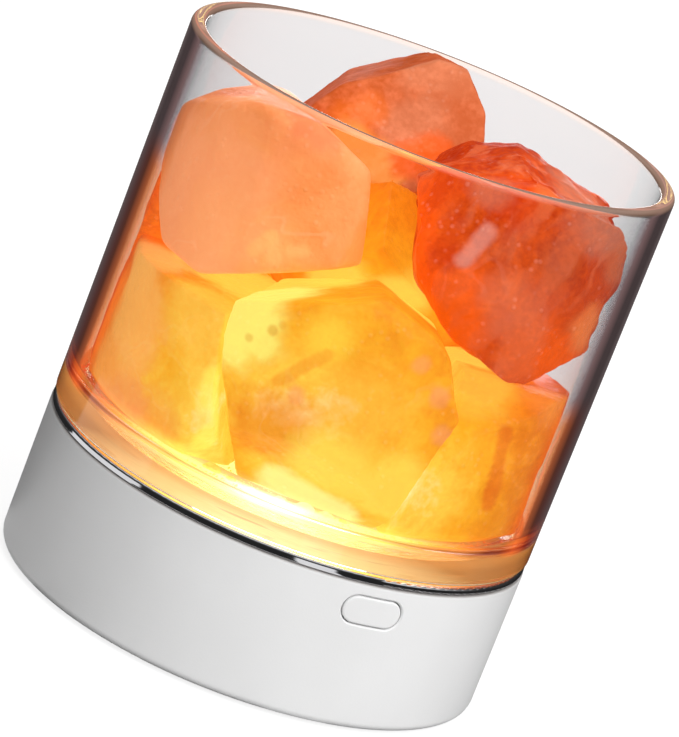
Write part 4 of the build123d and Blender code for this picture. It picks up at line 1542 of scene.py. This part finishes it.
SOFTBOXES = (
    Softbox("key_lamp", 26.0, 30.0, 0.8, 0.5, 5.0),
    Softbox("side_lamp", 100.0, 20.0, 0.8, 0.4, 1.2),
    Softbox("top_lamp", 10.0, 78.0, 0.9, 0.6, 2.0),
    Softbox("back_lamp", 182.0, 7.0, 0.9, 0.4, 2.6),
)


@dataclass
class Studio:
    """Camera, floor, world and lamps. Places are by bearing from the camera, elevation and distance."""

    target: Point = (1.12, 0.0, 47.07)
    distance: float = 743.6
    azimuth: float = -28.7
    elevation: float = 15.562
    roll: float = 21.375
    lens: float = 217.04
    sensor: float = 36.0
    floor_side: float = 6.0
    floor_gap: float = 0.02 * MM
    floor_albedo: float = 0.3
    floor_glow: float = 0.82
    floor_mirrored: float = 0.02
    card_level: float = 0.8
    card_reach: float = 0.16
    card_bearings: tuple[Pair, Pair] = ((-100.0, -52.0), (12.0, 30.0))
    card_soft: float = 2.0
    sky: float = 0.4
    sky_mirrored: float = 0.64
    horizon_mirrored: float = 0.04
    glass_view: float = 0.8
    mirror_loss: float = 0.86
    lamp_aim: float = 50.0

    def _turned(self, point: Point) -> Vector:
        """Turn a point from the photograph's own axes to the lamp's."""
        return Matrix.Rotation(math.radians(self.azimuth), 3, "Z") @ Vector(point)

    def _from_camera(self, bearing: float, elevation: float, distance: float) -> Vector:
        """A place round the lamp.

        Args:
            bearing: The bearing in degrees, 0 at the camera and 90 on its right.
            elevation: The elevation in degrees.
            distance: The distance from the lamp's foot.

        Returns:
            The place, in the distance's unit.
        """
        angle, rise = math.radians(bearing), math.radians(elevation)
        level = distance * math.cos(rise)
        return self._turned((level * math.sin(angle), -level * math.cos(angle), distance * math.sin(rise)))

    def camera(self) -> None:
        """Set up the photograph's camera."""
        target = self._turned(self.target) * MM
        back = self._from_camera(0.0, self.elevation, 1.0)
        right = self._turned((1.0, 0.0, 0.0))
        up = back.cross(right)
        turn = math.radians(self.roll)
        rolled_right = right * math.cos(turn) + up * math.sin(turn)
        rolled_up = up * math.cos(turn) - right * math.sin(turn)
        place = target + back * self.distance * MM
        lens = bpy.data.cameras.new("photo_camera")
        lens.lens = self.lens
        lens.sensor_width = self.sensor
        lens.clip_start = 0.01
        camera = bpy.data.objects.new("photo_camera", lens)
        matrix = Matrix.Identity(4)
        for column, axis in enumerate((rolled_right, rolled_up, back, place)):
            for row in range(3):
                matrix[row][column] = axis[row]
        camera.matrix_world = matrix
        bpy.context.scene.collection.objects.link(camera)
        bpy.context.scene.camera = camera

    def floor(self) -> None:
        """Lay a white floor that keeps a soft shadow."""
        half = self.floor_side / 2
        mesh = bpy.data.meshes.new("studio_floor")
        corners = [(x * half, y * half, -self.floor_gap) for x, y in ((-1, -1), (1, -1), (1, 1), (-1, 1))]
        mesh.from_pydata(corners, [], [(0, 1, 2, 3)])
        paint = Paint("studio_white")
        across = paint.vector("DOT_PRODUCT", paint.place, tuple(self._turned((1.0, 0.0, 0.0))))
        away = paint.vector("DOT_PRODUCT", paint.place, tuple(self._turned((0.0, 1.0, 0.0))))
        bearing = paint.node("ShaderNodeMath", {"operation": "ARCTAN2"}, {0: across, 1: 0.0 - away})
        near = paint.vector("DISTANCE", paint.place, (0.0, 0.0, 0.0))
        near = near.rise(self.card_reach, self.card_reach * 0.9)
        left, right = (self._between(bearing, *ends) for ends in self.card_bearings)
        cards = left.larger(right) * near
        mirrored = self.floor_mirrored + cards * self.card_level
        camera, clear, plain, glossy, turned = self._paths(paint)
        paper = paint.node("ShaderNodeBsdfDiffuse", None, {"Color": (1.0 - turned) * self.floor_albedo})
        shown = camera.larger(clear * self.glass_view) * self.floor_glow
        strength = (1.0 - plain) * (shown + glossy * mirrored)
        shine = paint.node("ShaderNodeEmission", None, {"Strength": strength})
        mesh.materials.append(paint.finish(paint.node("ShaderNodeAddShader", None, {0: paper, 1: shine})))
        link("studio_floor", mesh)

    def _between(self, bearing: Wire, first: float, last: float) -> Wire:
        """One between two bearings in degrees, with soft ends."""
        start, end, soft = (math.radians(angle) for angle in (first, last, self.card_soft))
        return bearing.rise(start, start + soft) * bearing.rise(end, end - soft)

    def _paths(self, graph: Graph) -> tuple[Wire, Wire, Wire, Wire, Wire]:
        """Sort the light paths.

        Args:
            graph: The graph that the nodes go into.

        Returns:
            One for rays from the camera, straight through glass, that only carry light, off a mirror,
            and off a mirror with or without glass after it.
        """
        outputs = ("Is Camera Ray", "Is Transmission Ray", "Diffuse Depth", "Glossy Depth", "Is Glossy Ray")
        wires = [graph.node("ShaderNodeLightPath", output=output) for output in outputs]
        camera, passed, diffuse_depth, glossy_depth, glossy = wires
        plain = diffuse_depth.smaller(1.0)
        turned = glossy_depth.smaller(1.0) * (1.0 - plain)
        glossy = glossy * (1.0 - passed) * (1.0 - plain)
        return camera, passed * (1.0 - turned * self.mirror_loss), plain, glossy, turned

    def world(self) -> None:
        """Surround the lamp with a plain sky, white to look at and dark where a mirror sees the horizon."""
        sky = bpy.data.worlds.new("studio_sky")
        bpy.context.scene.world = sky
        sky.use_nodes = True
        graph = Graph(sky.node_tree)
        graph.tree.nodes.clear()
        direction = graph.node("ShaderNodeTexCoord", output="Generated")
        height = graph.node("ShaderNodeSeparateXYZ", None, {0: direction}, "Z")
        camera, clear, plain, glossy, _ = self._paths(graph)
        mirrored = height.rise(0.25, 0.75) * self.sky_mirrored + self.horizon_mirrored
        shown = camera.larger(clear * self.glass_view)
        strength = plain * self.sky + (1.0 - plain) * (shown + glossy * mirrored)
        white = (1.0, 1.0, 1.0, 1.0)
        light = graph.node("ShaderNodeBackground", None, {"Color": white, "Strength": strength})
        out = graph.tree.nodes.new("ShaderNodeOutputWorld")
        graph.tree.links.new(light.socket, out.inputs["Surface"])

    def hang(self, box: Softbox) -> None:
        """Hang a lamp, aimed at the night light.

        Args:
            box: The lamp.
        """
        light = bpy.data.lights.new(box.name, "AREA")
        light.shape = "SQUARE"
        light.size = box.side
        light.energy = box.watts
        item = bpy.data.objects.new(box.name, light)
        middle = Vector((0.0, 0.0, self.lamp_aim * MM))
        item.location = middle + self._from_camera(box.bearing, box.elevation, box.distance)
        item.rotation_euler = (item.location - middle).to_track_quat("Z", "Y").to_euler()
        item.visible_glossy = False
        bpy.context.scene.collection.objects.link(item)

    def build(self) -> None:
        """Set the whole studio."""
        self.camera()
        self.floor()
        self.world()
        for box in SOFTBOXES:
            self.hang(box)
        bpy.context.scene.view_settings.view_transform = "Standard"


def main() -> None:
    """Build the lamp's looks in order."""
    logging.basicConfig(level=logging.INFO, format="%(name)s: %(message)s")
    BaseUnit().dress()
    LightEngine().dress()
    GlassCup().build(ClearGlass().make())
    SaltPile().build()
    Studio().build()


if __name__ == "__main__":
    main()
